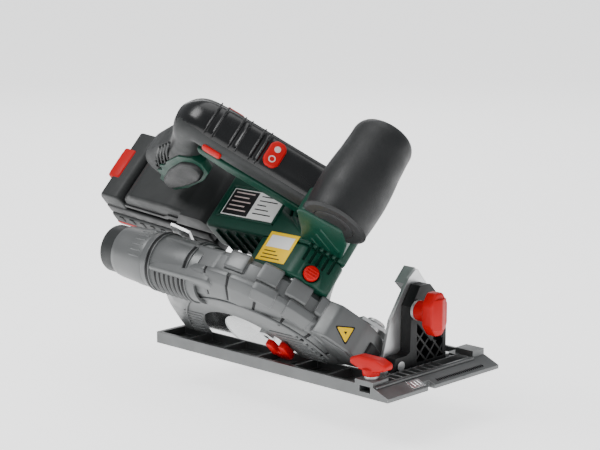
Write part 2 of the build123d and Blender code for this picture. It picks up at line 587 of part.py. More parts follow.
def motor_cap():
    """Vented end cover over the fan, holding the rear motor bearing."""
    cap = prism_y([(-130, 30), (-100, 30), (-62, 66), (-50, 82), (-67, 102), (-140, 102), (-147, 64)],
                  MOTOR_END_Y, MOTOR_END_Y + 8, 4)
    cap += rod_y(MOTOR_X, MOTOR_Z, 12, MOTOR_END_Y - 8, MOTOR_END_Y + 1)
    cap -= rod_y(MOTOR_X, MOTOR_Z, 9, MOTOR_END_Y - 9, MOTOR_END_Y - 3)
    cap -= rod_y(MOTOR_X, MOTOR_Z, 5, MOTOR_END_Y - 9, MOTOR_END_Y - 1)
    for i in range(CAP_VENTS):
        vent = Rot(0, 360 * i / CAP_VENTS, 0) * Pos(22, 0, 0) * Box(14, 20, 3)
        cap -= Pos(MOTOR_X, MOTOR_END_Y + 4, MOTOR_Z) * vent
    return cap


def motor_cap_screws():
    return group([rod_y(x, z, 3, MOTOR_END_Y + 8, MOTOR_END_Y + 10) for x, z in
                  ((-131, 40), (-99, 37), (-61, 82), (-134, 94))])


# ---- head: handles ------------------------------------------------------------------------
def bar_outline():
    """Sloping rear handle bar."""
    return [(-153, 211), (-138, 199), (-62, 123), (-34, 118), (-40, 102), (-78, 102), (-150, 174),
            (-170, 196)]


def column_outline():
    """Rear column from the handle bar down to the battery foot."""
    return [(-170, 196), (-150, 174), (-178, 140), (-186, 112), (-276, 126), (-262, 146),
            (-205, 168), (-186, 190)]


def handle_shell(y0, y1):
    """One half of the handle, hollow, cut back for the front handle, pad, trigger and buttons."""
    sides = (HANDLE_Y - HANDLE_HALF, HANDLE_Y + HANDLE_HALF)
    outside = prism_y(bar_outline(), *sides) + prism_y(column_outline(), *sides)
    inside = prism_y([(-152, 204), (-140, 195), (-66, 121), (-52, 112), (-74, 108), (-150, 184),
                      (-180, 142), (-190, 118), (-266, 128), (-258, 142), (-204, 163), (-166, 198)],
                     HANDLE_Y - HANDLE_HALF + WALL, HANDLE_Y + HANDLE_HALF - WALL)
    shell = outside - inside - barrel_blank() - trigger_space()
    shell -= lock_off_bar(0.4, HANDLE_HALF + 10)
    shell -= light_button_space()
    return shell & box(-400, 200, y0, y1, 0, 400)


def handle_right_shell():
    return handle_shell(HANDLE_Y - HANDLE_HALF, HANDLE_Y)


def handle_left_shell():
    return handle_shell(HANDLE_Y, HANDLE_Y + HANDLE_HALF)


def light_button_space():
    x, z = LIGHT_BUTTON
    return Pos(x + 2.8, HANDLE_Y, z + 2.8) * Rot(0, SLOPE, 0) * Box(15, 23, 21.5)


def handle_pad():
    """Ribbed soft pad along the top of the handle bar."""
    strip = [(-158, 213), (-150, 216), (-138, 202.5), (-60, 124.5), (-50, 121.9), (-62, 123.1),
             (-138, 199.1), (-153, 211.1)]
    pad = prism_y(strip, HANDLE_Y - HANDLE_HALF + 0.5, HANDLE_Y + HANDLE_HALF - 0.5)
    for i in range(7):
        x, z = -136 + 5.0 * i, 201.2 - 5.0 * i
        pad -= Pos(x, HANDLE_Y, z) * Rot(0, SLOPE, 0) * Box(1.6, 40, 1.6)
    return pad - barrel_blank() - light_button_space()


def light_button():
    x, z = LIGHT_BUTTON
    return Pos(x - 1.1, HANDLE_Y, z - 1.1) * Rot(0, SLOPE, 0) * Box(14, 22, 6.5)


def lock_off_bar(grow, half):
    """Round-ended thumb bar through the handle, along its slope."""
    face = SlotOverall(17 + 2 * grow, 9.5 + 2 * grow)
    x, z = LOCK_OFF
    place = Pos(x, HANDLE_Y, z) * Rot(0, SLOPE, 0) * Rot(90, 0, 0)
    return place * extrude(face, amount=half, both=True)


def lock_off_button():
    return lock_off_bar(0, HANDLE_HALF + 4)


def trigger_space():
    slot = prism_y([(-150, 182), (-118, 150), (-124, 140), (-162, 160)], HANDLE_Y - 9, HANDLE_Y + 9)
    return slot + box(-146, -128, HANDLE_Y - 9, HANDLE_Y + 9, 158, 170)


def trigger():
    """Curved trigger under the bar, ahead of the column."""
    lever = prism_y([(-144, 166), (-126, 148.5), (-133, 145), (-150, 158)],
                    HANDLE_Y - 8, HANDLE_Y + 8, 1.5)
    return lever + box(-142, -136, HANDLE_Y - 6, HANDLE_Y + 6, 155, 164)


def switch_unit():
    return Pos(-106, HANDLE_Y, 150.5) * Rot(0, SLOPE, 0) * Box(20, 18, 12)


def barrel_blank():
    """Barrel-shaped front handle volume."""
    r = BARREL_R
    profile = [(0, BARREL_START), (r - 4, BARREL_START), (r - 1.5, BARREL_START + 3),
               (r, BARREL_START + 30), (r - 0.5, 100), (r - 3, 124), (r - 7, 132),
               (r - 14, BARREL_END), (0, BARREL_END)]
    return revolve_y(BARREL_X, BARREL_Z, profile)


def front_handle_grip():
    return barrel_blank() - rod_y(BARREL_X, BARREL_Z, 17, BARREL_START - 1, 120)


def front_handle_core():
    return ring_y(BARREL_X, BARREL_Z, 17, 13, BARREL_START + 2, 120)


def front_handle_plate():
    return rod_y(BARREL_X, BARREL_Z, 17, BARREL_START - 0.5, BARREL_START + 2)


def battery_foot():
    """Broad foot that carries the battery rails."""
    foot = BATTERY_TURN * box(-296, -192, 48, 116, BATT_Z1 + CLEAR, 114)
    foot -= BATTERY_TURN * box(-297, -204, 58, 106, BATT_Z1, 102)
    foot -= prism_y(column_outline(), HANDLE_Y - HANDLE_HALF, HANDLE_Y + HANDLE_HALF)
    return foot - prism_y(MOTOR_OUTLINE, MOTOR_Y, MOTOR_END_Y, 2.5)


# ---- battery ------------------------------------------------------------------------------
def battery_case():
    """Hollow battery box with the rail block and the rear tower that holds the latch."""
    y0, y1 = HANDLE_Y - BATT_HALF, HANDLE_Y + BATT_HALF
    case = BATTERY_TURN * box(BATT_X0, BATT_X1, y0, y1, BATT_Z0, BATT_Z1)
    case += BATTERY_TURN * box(BATT_X0, BATT_X1 - 4, 59, 105, BATT_Z1 - 1, 101.4)
    case += BATTERY_TURN * box(BATT_X0, -298, y0, y1, BATT_Z1 - 1, 108)
    case -= BATTERY_TURN * box(BATT_X0 + WALL, BATT_X1 - WALL, y0 + WALL, y1 - WALL,
                               BATT_Z0 + WALL, BATT_Z1 - WALL - 1)
    return case - latch_space()


def latch_space():
    """Opening in the tower for the latch button."""
    return BATTERY_TURN * box(BATT_X0 - 1, BATT_X0 + 14, HANDLE_Y - 16, HANDLE_Y + 16, 90, 112)


def battery_latch():
    return BATTERY_TURN * box(BATT_X0 + 0.5, BATT_X0 + 11.4, HANDLE_Y - 15.5, HANDLE_Y + 15.5, 91, 109)


def battery_cells():
    cells = []
    for i in range(5):
        x = BATT_X0 + 15 + 21 * i
        cells.append(BATTERY_TURN * rod_y(x, BATT_Z0 + 14, 9.5, HANDLE_Y - 32, HANDLE_Y + 32))
    return group(cells)


def rating_label():
    return box(-171, -113, 52, 78, HOUSING_TOP + 0.02, HOUSING_TOP + 0.4)


def notice_label():
    return box(-107, -76, 18, 45, HOUSING_TOP + 0.02, HOUSING_TOP + 0.4)


HEAD_NODES = {
    "upper_guard": upper_guard, "dust_port": dust_port, "dust_ring": dust_ring,
    "laser_module": laser_module, "laser_window": laser_window, "depth_stud": depth_stud,
    "depth_pin": depth_pin, "gearbox_housing": gearbox_housing, "guard_spring": guard_spring,
    "motor_housing": motor_housing, "motor_cap": motor_cap, "motor_cap_screws": motor_cap_screws,
    "stator": stator, "bearings": bearings, "handle_right_shell": handle_right_shell,
    "handle_left_shell": handle_left_shell, "handle_pad": handle_pad, "switch_unit": switch_unit,
    "front_handle_grip": front_handle_grip, "front_handle_core": front_handle_core,
    "front_handle_plate": front_handle_plate, "battery_foot": battery_foot,
    "rating_label": rating_label, "notice_label": notice_label,
    "lower_guard": lower_guard, "guard_lever": guard_lever,
    "saw_blade": saw_blade, "inner_flange": inner_flange, "outer_flange": outer_flange,
    "blade_bolt": blade_bolt, "spindle": spindle, "output_gear": output_gear,
    "intermediate_gear": intermediate_gear, "motor_shaft": motor_shaft, "rotor": rotor,
    "cooling_fan": cooling_fan, "spindle_lock_button": spindle_lock_button,
    "light_button": light_button, "lock_off_button": lock_off_button, "trigger": trigger,
    "battery_case": battery_case, "battery_latch": battery_latch, "battery_cells": battery_cells,
    "depth_lever": depth_lever, "depth_guide": depth_guide, "bevel_arm": bevel_arm,
    "bevel_bolt": bevel_bolt, "bevel_knob": bevel_knob,
}
BASE_NODES = {
    "base_plate": base_plate, "bevel_quadrant": bevel_quadrant, "bevel_pins": bevel_pins,
    "quadrant_screws": quadrant_screws, "cut_sight": cut_sight, "fence_stud": fence_stud,
    "fence_knob": fence_knob,
}

os.makedirs("parts", exist_ok=True)
for name, make in BASE_NODES.items():
    export_step(make(), f"parts/{name}.step")
for name, make in HEAD_NODES.items():
    export_step(group([make()]).moved(HEAD_TURN), f"parts/{name}.step")
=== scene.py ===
import json
from math import atan2, cos, pi, radians, sin

import bmesh
import bpy
from mathutils import Matrix, Vector


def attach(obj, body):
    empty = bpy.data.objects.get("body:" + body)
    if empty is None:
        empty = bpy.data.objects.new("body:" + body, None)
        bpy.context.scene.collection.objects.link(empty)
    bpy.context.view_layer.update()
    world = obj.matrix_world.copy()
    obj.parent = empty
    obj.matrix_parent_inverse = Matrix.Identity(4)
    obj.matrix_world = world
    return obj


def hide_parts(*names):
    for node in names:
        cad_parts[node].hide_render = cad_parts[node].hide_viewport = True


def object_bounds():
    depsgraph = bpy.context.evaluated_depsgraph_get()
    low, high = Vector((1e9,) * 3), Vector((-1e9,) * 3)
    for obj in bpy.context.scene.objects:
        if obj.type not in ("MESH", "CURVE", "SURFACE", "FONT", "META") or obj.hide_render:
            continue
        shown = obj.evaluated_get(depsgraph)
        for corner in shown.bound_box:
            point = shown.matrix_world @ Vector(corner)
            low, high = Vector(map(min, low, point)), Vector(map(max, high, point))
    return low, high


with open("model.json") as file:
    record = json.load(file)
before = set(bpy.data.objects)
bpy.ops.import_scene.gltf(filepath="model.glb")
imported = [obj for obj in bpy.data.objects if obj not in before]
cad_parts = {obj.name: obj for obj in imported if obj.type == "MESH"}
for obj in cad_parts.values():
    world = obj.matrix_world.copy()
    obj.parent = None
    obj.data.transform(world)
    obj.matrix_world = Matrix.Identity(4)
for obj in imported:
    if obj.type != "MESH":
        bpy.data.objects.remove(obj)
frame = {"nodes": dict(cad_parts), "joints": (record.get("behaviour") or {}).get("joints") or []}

cad_low, cad_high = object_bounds()

# ---- places taken from the frame --------------------------------------------------------------
JOINTS = {j["name"]: j for j in frame["joints"]}
PIVOT = Vector(JOINTS["bevel_tilt"]["pos_m"])
BEVEL = radians(-min(JOINTS["bevel_tilt"]["range_deg"]))
BASE = Matrix.Scale(0.001, 4)
HEAD = Matrix.Translation(PIVOT) @ Matrix.Rotation(BEVEL, 4, "X") @ Matrix.Translation(-PIVOT) @ BASE
UPRIGHT = HEAD.inverted()


def node_box(node, space=UPRIGHT):
    """Lowest and highest corner of a CAD node in the upright head's millimetres."""
    spots = [space @ v.co for v in frame["nodes"][node].data.vertices]
    low = Vector(min(s[i] for s in spots) for i in range(3))
    high = Vector(max(s[i] for s in spots) for i in range(3))
    return low, high


ARBOR = UPRIGHT @ Vector(JOINTS["blade_spin"]["pos_m"])
GUARD_LOW, GUARD_HIGH = node_box("upper_guard")
MOTOR_RIGHT = node_box("motor_housing")[0].y
GEAR_RIGHT = node_box("gearbox_housing")[0].y
GRIP_LOW, GRIP_HIGH = node_box("front_handle_grip")
HAND_Y = (node_box("handle_right_shell")[0].y + node_box("handle_left_shell")[1].y) / 2
HAND_HALF = HAND_Y - node_box("handle_right_shell")[0].y
TOP = node_box("rating_label")[0].z
GUARD_RIGHT, GUARD_LEFT = -22.0, 12.0           # flanks of the upper guard
GUARD_RIM = 95.0                                # radius of its plain rim
WINDOW_RADIUS = 53.5                            # radius of the opening that shows the blade
TREAD_SLITS = (101, 89, 75, 58.5, 42, 27, 12, -6)  # angles of the slits in the guard's shoulder
# raised blocks as (from, to, height): angles about the arbor, and a radius
CROWN_BLOCKS = ((70, 80.7, 98.0), (52.3, 62.7, 98.4), (37, 47.7, 99.2), (21, 32, 98.8), (7, 17, 98.2))
SHOULDER_BLOCKS = ((50, 61.8, 99.0), (31, 44, 99.6), (12, 25, 99.0))
NOSE_FACET = ((-18, 50), (-31, 70))             # sloping facet of the nose
CHAMFER = ((-45, 83), (-66, TOP))               # sloping corner of the gear case and motor
LOCK_SPOT = Vector((-55.5, 20, 93.5))
# stations of the rear handle for loft()
HANDLE_LINE = [(-28, 122, 21, 20, 3.0), (-44, 111, 19, 15.8, 3.0), (-60, 109.5, 18, 13.6, 3.2),
               (-76, 120.5, 18, 13.0, 3.4), (-100, 144.5, 18, 13.0, 3.4), (-122, 166.5, 18, 13.0, 3.4),
               (-138, 182.5, 18, 13.2, 3.0), (-149, 190.5, 18, 14.5, 2.3), (-160, 187, 18, 15.5, 2.1),
               (-171, 174, 18, 15.5, 2.4), (-184, 159, 18, 17, 3.0), (-206, 143, 18, 21, 3.4),
               (-232, 128, 18, 22, 3.4)]
PAD_STATIONS = 9                                # the pad follows the handle up to here
PAD_RIBS = (0, 5.7, 17.7, 23.7, 38.7, 45.4)     # places of the ribs, from PAD_START up the slope
PAD_START = Vector((-99.9, HAND_Y, 164.4))
BASE_LOW, BASE_HIGH = node_box("base_plate", BASE.inverted())
# the spigot points to the rear and a little up; its axis starts inside the neck
PORT_AXIS = Vector((-cos(radians(6.5)), 0, sin(radians(6.5))))
PORT_START = Vector((-200, (GUARD_LOW.y + GUARD_HIGH.y) / 2, 107))
PORT_BORE = 17.6                                # inner radius of the spigot
BATTERY_HEEL = Vector((-330, 0, 70))            # the battery is drawn level and tilted about this corner
BATTERY_TILT = (Matrix.Translation(BATTERY_HEEL) @ Matrix.Rotation(radians(9), 4, "Y")
                @ Matrix.Translation(-BATTERY_HEEL))
BATTERY_HALF, FOOT_HALF = 36.0, 34              # half widths across the machine
MOTOR_END = 100                                 # y of the joint between the motor case and its end cover
SLOPE = Matrix.Rotation(radians(45), 4, "Y")    # lays a flat shape onto the handle's slope
CORNER = Matrix.Rotation(radians(-45), 4, "Y")  # and onto the sloping corner of the cases
SHARP_ANGLE = 32                                # degrees; edges that turn by more are shaded sharp


# ---- materials --------------------------------------------------------------------------------
def surface(name, colour, rough, metal=0.0, mottle=0.12, grain=(900, 0.08), wear=None, wear_amount=0.5,
            brushed=None, coat=0.0, edge=0.5, shine=0.5):
    """Plastic, paint or metal: clouded colour, fine grain, soft edges and worn corners."""
    mat = bpy.data.materials.new(name)
    mat.use_nodes = True
    tree = mat.node_tree
    nodes, link = tree.nodes, tree.links.new
    shader = nodes["Principled BSDF"]
    shader.inputs["Metallic"].default_value = metal
    shader.inputs["Coat Weight"].default_value = coat
    shader.inputs["Specular IOR Level"].default_value = shine
    shader.inputs["Coat Roughness"].default_value = 0.25
    place = nodes.new("ShaderNodeTexCoord").outputs["Object"]
    if brushed:
        stretch = nodes.new("ShaderNodeMapping")
        stretch.inputs["Scale"].default_value = brushed
        link(place, stretch.inputs["Vector"])
        streak_place = stretch.outputs["Vector"]
    else:
        streak_place = place

    def noise(scale, detail, where):
        node = nodes.new("ShaderNodeTexNoise")
        node.inputs["Scale"].default_value = scale
        node.inputs["Detail"].default_value = detail
        link(where, node.inputs["Vector"])
        return node.outputs["Fac"]

    def spread(value, low, high):
        node = nodes.new("ShaderNodeMapRange")
        node.inputs["From Min"].default_value = 0.3
        node.inputs["From Max"].default_value = 0.7
        node.inputs["To Min"].default_value = low
        node.inputs["To Max"].default_value = high
        link(value, node.inputs["Value"])
        return node.outputs["Result"]

    clouds = noise(38, 5, place)
    fine = noise(grain[0], 3, streak_place)
    tone = nodes.new("ShaderNodeMix")
    tone.data_type = "RGBA"
    tone.inputs["A"].default_value = [c * (1 - mottle) for c in colour] + [1]
    tone.inputs["B"].default_value = [min(1, c * (1 + mottle)) for c in colour] + [1]
    link(spread(clouds, 0, 1), tone.inputs["Factor"])
    painted = tone.outputs["Result"]
    round_edge = nodes.new("ShaderNodeBevel")
    round_edge.samples = 4
    round_edge.inputs["Radius"].default_value = edge * 0.001
    if wear:
        geometry = nodes.new("ShaderNodeNewGeometry")
        turn = nodes.new("ShaderNodeVectorMath")
        turn.operation = "DOT_PRODUCT"
        link(round_edge.outputs["Normal"], turn.inputs[0])
        link(geometry.outputs["Normal"], turn.inputs[1])
        mask = nodes.new("ShaderNodeMapRange")
        mask.inputs["From Min"].default_value = 0.97
        mask.inputs["From Max"].default_value = 0.86
        mask.inputs["To Max"].default_value = wear_amount
        link(turn.outputs["Value"], mask.inputs["Value"])
        patchy = nodes.new("ShaderNodeMath")
        patchy.operation = "MULTIPLY"
        link(mask.outputs["Result"], patchy.inputs[0])
        link(spread(noise(160, 4, place), 0.15, 1.0), patchy.inputs[1])
        worn = nodes.new("ShaderNodeMix")
        worn.data_type = "RGBA"
        worn.inputs["B"].default_value = list(wear) + [1]
        link(patchy.outputs["Value"], worn.inputs["Factor"])
        link(painted, worn.inputs["A"])
        painted = worn.outputs["Result"]
    link(painted, shader.inputs["Base Color"])
    link(spread(noise(70, 4, streak_place), rough * 0.82, min(1, rough * 1.2)), shader.inputs["Roughness"])
    bump = nodes.new("ShaderNodeBump")
    bump.inputs["Strength"].default_value = grain[1]
    bump.inputs["Distance"].default_value = 0.0004
    link(fine, bump.inputs["Height"])
    link(round_edge.outputs["Normal"], bump.inputs["Normal"])
    link(bump.outputs["Normal"], shader.inputs["Normal"])
    return mat


PALE_WEAR = (0.40, 0.41, 0.41)
MATERIALS = {
    "silver": surface("silver_paint", (0.135, 0.14, 0.14), 0.38, 0.35, 0.06, (1400, 0.10), PALE_WEAR, 0.6),
    # a darker copy of the same silver paint: painted shade for the guard's flank bead, louvres, cheek and
    # vent fins
    "shaded_silver": surface("dark_silver_paint", (0.10, 0.104, 0.104), 0.42, 0.3, 0.08, (1300, 0.12),
                           PALE_WEAR, 0.4),
    "black": surface("black_plastic", (0.005, 0.0055, 0.006), 0.45, 0, 0.15, (1700, 0.12),
                     (0.05, 0.05, 0.05), 0.5, shine=0.3),
    "gloss": surface("gloss_plastic", (0.004, 0.0045, 0.005), 0.24, 0, 0.15, (900, 0.05),
                     (0.08, 0.08, 0.085), 0.8, edge=0.6),
    "grey": surface("grey_plastic", (0.022, 0.024, 0.024), 0.50, 0, 0.10, (1800, 0.22),
                    (0.10, 0.105, 0.10), 0.6, shine=0.35),
    "rubber": surface("soft_rubber", (0.010, 0.011, 0.0115), 0.46, 0, 0.14, (1500, 0.42),
                      (0.04, 0.04, 0.04), 0.3, edge=0.9, shine=0.4),
    "green": surface("green_plastic", (0.0, 0.040, 0.023), 0.42, 0, 0.10, (1600, 0.16),
                     (0.01, 0.16, 0.10), 0.6, shine=0.35),
    "red": surface("red_plastic", (0.50, 0.002, 0.003), 0.42, 0, 0.08, (1500, 0.12), (0.70, 0.03, 0.03), 0.4,
                   shine=0.2),
    "zinc": surface("zinc_steel", (0.66, 0.67, 0.67), 0.34, 0.85, 0.04, (260, 0.02), (0.8, 0.8, 0.8), 0.4),
    "bright": surface("bright_steel", (0.74, 0.75, 0.75), 0.22, 1.0, 0.05, (240, 0.05), brushed=(9, 1, 1)),
    "cast": surface("cast_base", (0.15, 0.155, 0.155), 0.42, 0.6, 0.10, (1200, 0.20), (0.55, 0.56, 0.56), 0.9,
                    edge=0.7),
    "blade": surface("blade_steel", (0.52, 0.53, 0.53), 0.30, 1.0, 0.06, (150, 0.08), (0.8, 0.8, 0.8), 0.4,
                     brushed=(1, 14, 1)),
    "copper": surface("copper_wire", (0.62, 0.26, 0.10), 0.38, 0.9, 0.18, (500, 0.4), brushed=(1, 12, 1)),
    "iron": surface("laminated_iron", (0.20, 0.20, 0.21), 0.5, 0.8, 0.1, (300, 0.35), brushed=(1, 16, 16)),
    "white": surface("label_white", (0.78, 0.78, 0.76), 0.45, 0, 0.03, (900, 0.03), shine=0.2),
    "ink": surface("label_ink", (0.008, 0.008, 0.009), 0.50, 0, 0.08, (900, 0.03), shine=0.25),
    "yellow": surface("label_yellow", (0.95, 0.60, 0.0), 0.45, 0, 0.04, (900, 0.03), shine=0.2),
    "mark": surface("pale_mark", (0.62, 0.50, 0.48), 0.45, 0, 0.05, (900, 0.03)),
    "lens": surface("laser_lens", (0.22, 0.02, 0.02), 0.12, 0, 0.05, (500, 0.02), coat=0.6),
    "cell": surface("cell_sleeve", (0.05, 0.20, 0.42), 0.35, 0, 0.08, (700, 0.05), coat=0.3),
}


# ---- mesh helpers, in millimetres -------------------------------------------------------------
def soften(bm, radius, segments=2, angle=30):
    """Rounds every edge that turns by more than angle."""
    if radius <= 0:
        return bm
    bm.normal_update()
    edges = [e for e in bm.edges if len(e.link_faces) == 2 and e.calc_face_angle(0) > radians(angle)]
    bmesh.ops.bevel(bm, geom=edges, offset=radius, segments=segments, profile=0.5, affect="EDGES",
                    clamp_overlap=True)
    return bm


def rounded(points, radius, steps=4):
    """The outline with each corner turned into a short curve."""
    out = []
    for i, corner in enumerate(points):
        before, after = Vector(points[i - 1]), Vector(points[(i + 1) % len(points)])
        corner = Vector(corner)
        reach = min(radius, (before - corner).length * 0.45, (after - corner).length * 0.45)
        start = corner + (before - corner).normalized() * reach
        end = corner + (after - corner).normalized() * reach
        for k in range(steps + 1):
            t = k / steps
            out.append(tuple(start * (1 - t) ** 2 + corner * 2 * t * (1 - t) + end * t * t))
    return out


LIFT = {"x": lambda a, b, d: (d, a, b), "y": lambda a, b, d: (a, d, b), "z": lambda a, b, d: (a, b, d)}


def prism(points, start, end, axis="y", soft=0.8, segments=2):
    """An outline made thick along an axis, with soft edges."""
    bm = bmesh.new()
    lift = LIFT[axis]
    rings = [[bm.verts.new(lift(a, b, d)) for a, b in points] for d in (start, end)]
    bm.faces.new(rings[0])
    bm.faces.new(rings[1][::-1])
    for i in range(len(points)):
        j = (i + 1) % len(points)
        bm.faces.new((rings[0][i], rings[1][i], rings[1][j], rings[0][j]))
    bmesh.ops.recalc_face_normals(bm, faces=bm.faces)
    return soften(bm, soft, segments)


def block(x0, x1, y0, y1, z0, z1, soft=1.0, segments=3):
    """A box with soft edges."""
    return prism([(x0, z0), (x1, z0), (x1, z1), (x0, z1)], y0, y1, "y", soft, segments)


def shift_all(parts, place):
    """Moves every mesh of a list of (mesh, material) pairs."""
    for bm, _ in parts:
        bm.transform(place)


def lathe(profile, centre, axis, arc=(0, 360), steps=96, soft=0.0, start=None):
    """A closed (radius, along) outline turned about an axis; an open arc gets end faces."""
    axis = Vector(axis).normalized()
    side = Vector(start) if start else axis.orthogonal()
    side = (side - axis * side.dot(axis)).normalized()
    other = axis.cross(side)
    full = abs(arc[1] - arc[0]) >= 359.9
    count = max(2, int(steps * abs(arc[1] - arc[0]) / 360))
    bm = bmesh.new()
    rings = []
    for i in range(count if full else count + 1):
        a = radians(arc[0] + (arc[1] - arc[0]) * i / count)
        out = side * cos(a) + other * sin(a)
        rings.append([bm.verts.new(Vector(centre) + out * r + axis * h) for r, h in profile])
    n = len(profile)
    for i in range(len(rings) if full else len(rings) - 1):
        here, there = rings[i], rings[(i + 1) % len(rings)]
        for k in range(n):
            m = (k + 1) % n
            if profile[k][0] == 0 and profile[m][0] == 0:
                continue
            bm.faces.new((here[k], here[m], there[m], there[k]))
    if not full:
        bm.faces.new(rings[0][::-1])
        bm.faces.new(rings[-1])
    bmesh.ops.remove_doubles(bm, verts=bm.verts, dist=1e-4)
    bmesh.ops.recalc_face_normals(bm, faces=bm.faces)
    return soften(bm, soft, 2, 25)


def about_arbor(profile, arc, soft=0.0):
    """An outline in (radius, y) turned about the arbor; angles run from +X towards +Z."""
    turned = [(r, -y) for r, y in profile]
    return lathe(turned, (ARBOR.x, 0, ARBOR.z), (0, -1, 0), arc, 180, soft, (1, 0, 0))


def along_port(profile, arc=(0, 360), steps=96, soft=0.0):
    """An outline in (radius, along) turned about the spigot's axis."""
    return lathe(profile, PORT_START, PORT_AXIS, arc, steps, soft, (0, -1, 0))


def smooth_path(points, steps=6):
    """A Catmull-Rom curve through given points."""
    points = [Vector(p) for p in points]
    out = []
    for i in range(len(points) - 1):
        a, b, c, d = points[max(i - 1, 0)], points[i], points[i + 1], points[min(i + 2, len(points) - 1)]
        for k in range(steps):
            t = k / steps
            out.append(0.5 * (2 * b + (c - a) * t + (2 * a - 5 * b + 4 * c - d) * t * t
                              + (3 * b - a - 3 * c + d) * t ** 3))
    out.append(points[-1])
    return out


def skin(bm, rings):
    """Joins rings of equal count into a closed skin with flat ends."""
    sides = len(rings[0])
    for here, there in zip(rings, rings[1:]):
        for k in range(sides):
            m = (k + 1) % sides
            bm.faces.new((here[k], here[m], there[m], there[k]))
    bm.faces.new(rings[0][::-1])
    bm.faces.new(rings[-1])
    bmesh.ops.recalc_face_normals(bm, faces=bm.faces)
    return bm


def tube(path, radius):
    """A round bead along a path."""
    bm, sides = bmesh.new(), 10
    rings = []
    for i, p in enumerate(path):
        ahead = (path[min(i + 1, len(path) - 1)] - path[max(i - 1, 0)]).normalized()
        side = ahead.cross(Vector((0, 1, 0)))
        side = side.normalized() if side.length > 0.1 else ahead.orthogonal().normalized()
        up = ahead.cross(side)
        angles = [2 * pi * k / sides for k in range(sides)]
        rings.append([bm.verts.new(p + side * radius * cos(a) + up * radius * sin(a)) for a in angles])
    return skin(bm, rings)


def loft(stations):
    """A soft-cornered bar: stations of (x, z, half width, half thickness, squareness) along a path."""
    spine = [smooth_path([(s[0], s[1], s[k]) for s in stations]) for k in (2, 3, 4)]
    bm, sides = bmesh.new(), 40
    rings = []
    for i, (wide, thick, square) in enumerate(zip(*spine)):
        ahead = spine[0][min(i + 1, len(spine[0]) - 1)] - spine[0][max(i - 1, 0)]
        out = Vector((-ahead.y, ahead.x)).normalized()
        ring = []
        for k in range(sides):
            a = 2 * pi * k / sides
            u = abs(cos(a)) ** (2 / square.z) * (1 if cos(a) >= 0 else -1) * wide.z
            v = abs(sin(a)) ** (2 / square.z) * (1 if sin(a) >= 0 else -1) * thick.z
            ring.append(bm.verts.new((wide.x - out.x * v, HAND_Y + u, wide.y - out.y * v)))
        rings.append(ring)
    return skin(bm, rings)


def keep_side(bm, point, normal):
    """Cuts the closed mesh with a plane, keeps the side the normal points to, and closes it."""
    result = bmesh.ops.bisect_plane(bm, geom=list(bm.verts) + list(bm.edges) + list(bm.faces), plane_co=point,
                                    plane_no=normal, clear_inner=True, dist=1e-5)
    rim = [e for e in result["geom_cut"] if isinstance(e, bmesh.types.BMEdge) and e.is_boundary]
    if rim:
        bmesh.ops.triangle_fill(bm, edges=rim, use_beauty=True)
    bmesh.ops.recalc_face_normals(bm, faces=bm.faces)
    return bm


def clear_of_base(bm):
    """Keeps a head shape over its two clearance planes: level, and level at full bevel."""
    for height, normal in ((11.5, (0, 0, 1)), (11.2, (0, 1, 1))):
        keep_side(bm, (0, 0, height), normal)
    return bm


def piece(name, parts, body, replaces=(), space=HEAD):
    """One object from (mesh, material) pairs, put in place and named."""
    mesh = bpy.data.meshes.new(name)
    whole = bmesh.new()
    keys = []
    for bm, key in parts:
        if key not in keys:
            keys.append(key)
        for face in bm.faces:
            face.material_index = keys.index(key)
            face.smooth = True
        scrap = bpy.data.meshes.new("scrap")
        bm.to_mesh(scrap)
        whole.from_mesh(scrap)
        bpy.data.meshes.remove(scrap)
        bm.free()
    whole.transform(space)
    whole.to_mesh(mesh)
    whole.free()
    for key in keys:
        mesh.materials.append(MATERIALS[key])
    mesh.set_sharp_from_angle(angle=radians(SHARP_ANGLE))
    thing = bpy.data.objects.new(name, mesh)
    bpy.context.scene.collection.objects.link(thing)
    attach(thing, body)
    if replaces:
        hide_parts(*replaces)
    return thing


def carve(thing, cutters):
    """Takes the cutters' shapes out of a piece of the head for good."""
    for bm in cutters:
        mesh = bpy.data.meshes.new("cutter")
        bm.transform(HEAD)
        bm.to_mesh(mesh)
        bm.free()
        tool = bpy.data.objects.new("cutter", mesh)
        bpy.context.scene.collection.objects.link(tool)
        cut = thing.modifiers.new("cut", "BOOLEAN")
        cut.object, cut.operation, cut.solver = tool, "DIFFERENCE", "EXACT"
        cut.use_self, cut.use_hole_tolerant = True, True
        bpy.context.view_layer.update()
        graph = bpy.context.evaluated_depsgraph_get()
        done = bpy.data.meshes.new_from_object(thing.evaluated_get(graph))
        thing.modifiers.clear()
        thing.data = done
        bpy.data.objects.remove(tool)


# ---- camera, lights and floor -----------------------------------------------------------------
LIGHTS = (("key", (-0.5, -0.9, 1.5), 0.8, 17), ("fill", (1.5, -0.3, 0.7), 1.2, 2.5),
          ("top", (-0.1, 0.25, 1.6), 1.2, 9), ("back", (-1.3, 1.1, 0.9), 1.0, 5))  # name, place, size, watts
LIGHT_TARGET = Vector((-0.1, 0, 0.1))
CAMERA_PLACE = (0.92488, -1.08058, 0.41181)
CAMERA_BACKWARD = Vector((0.67723, -0.70849, 0.19847))
FLOOR_REACH = 12.0


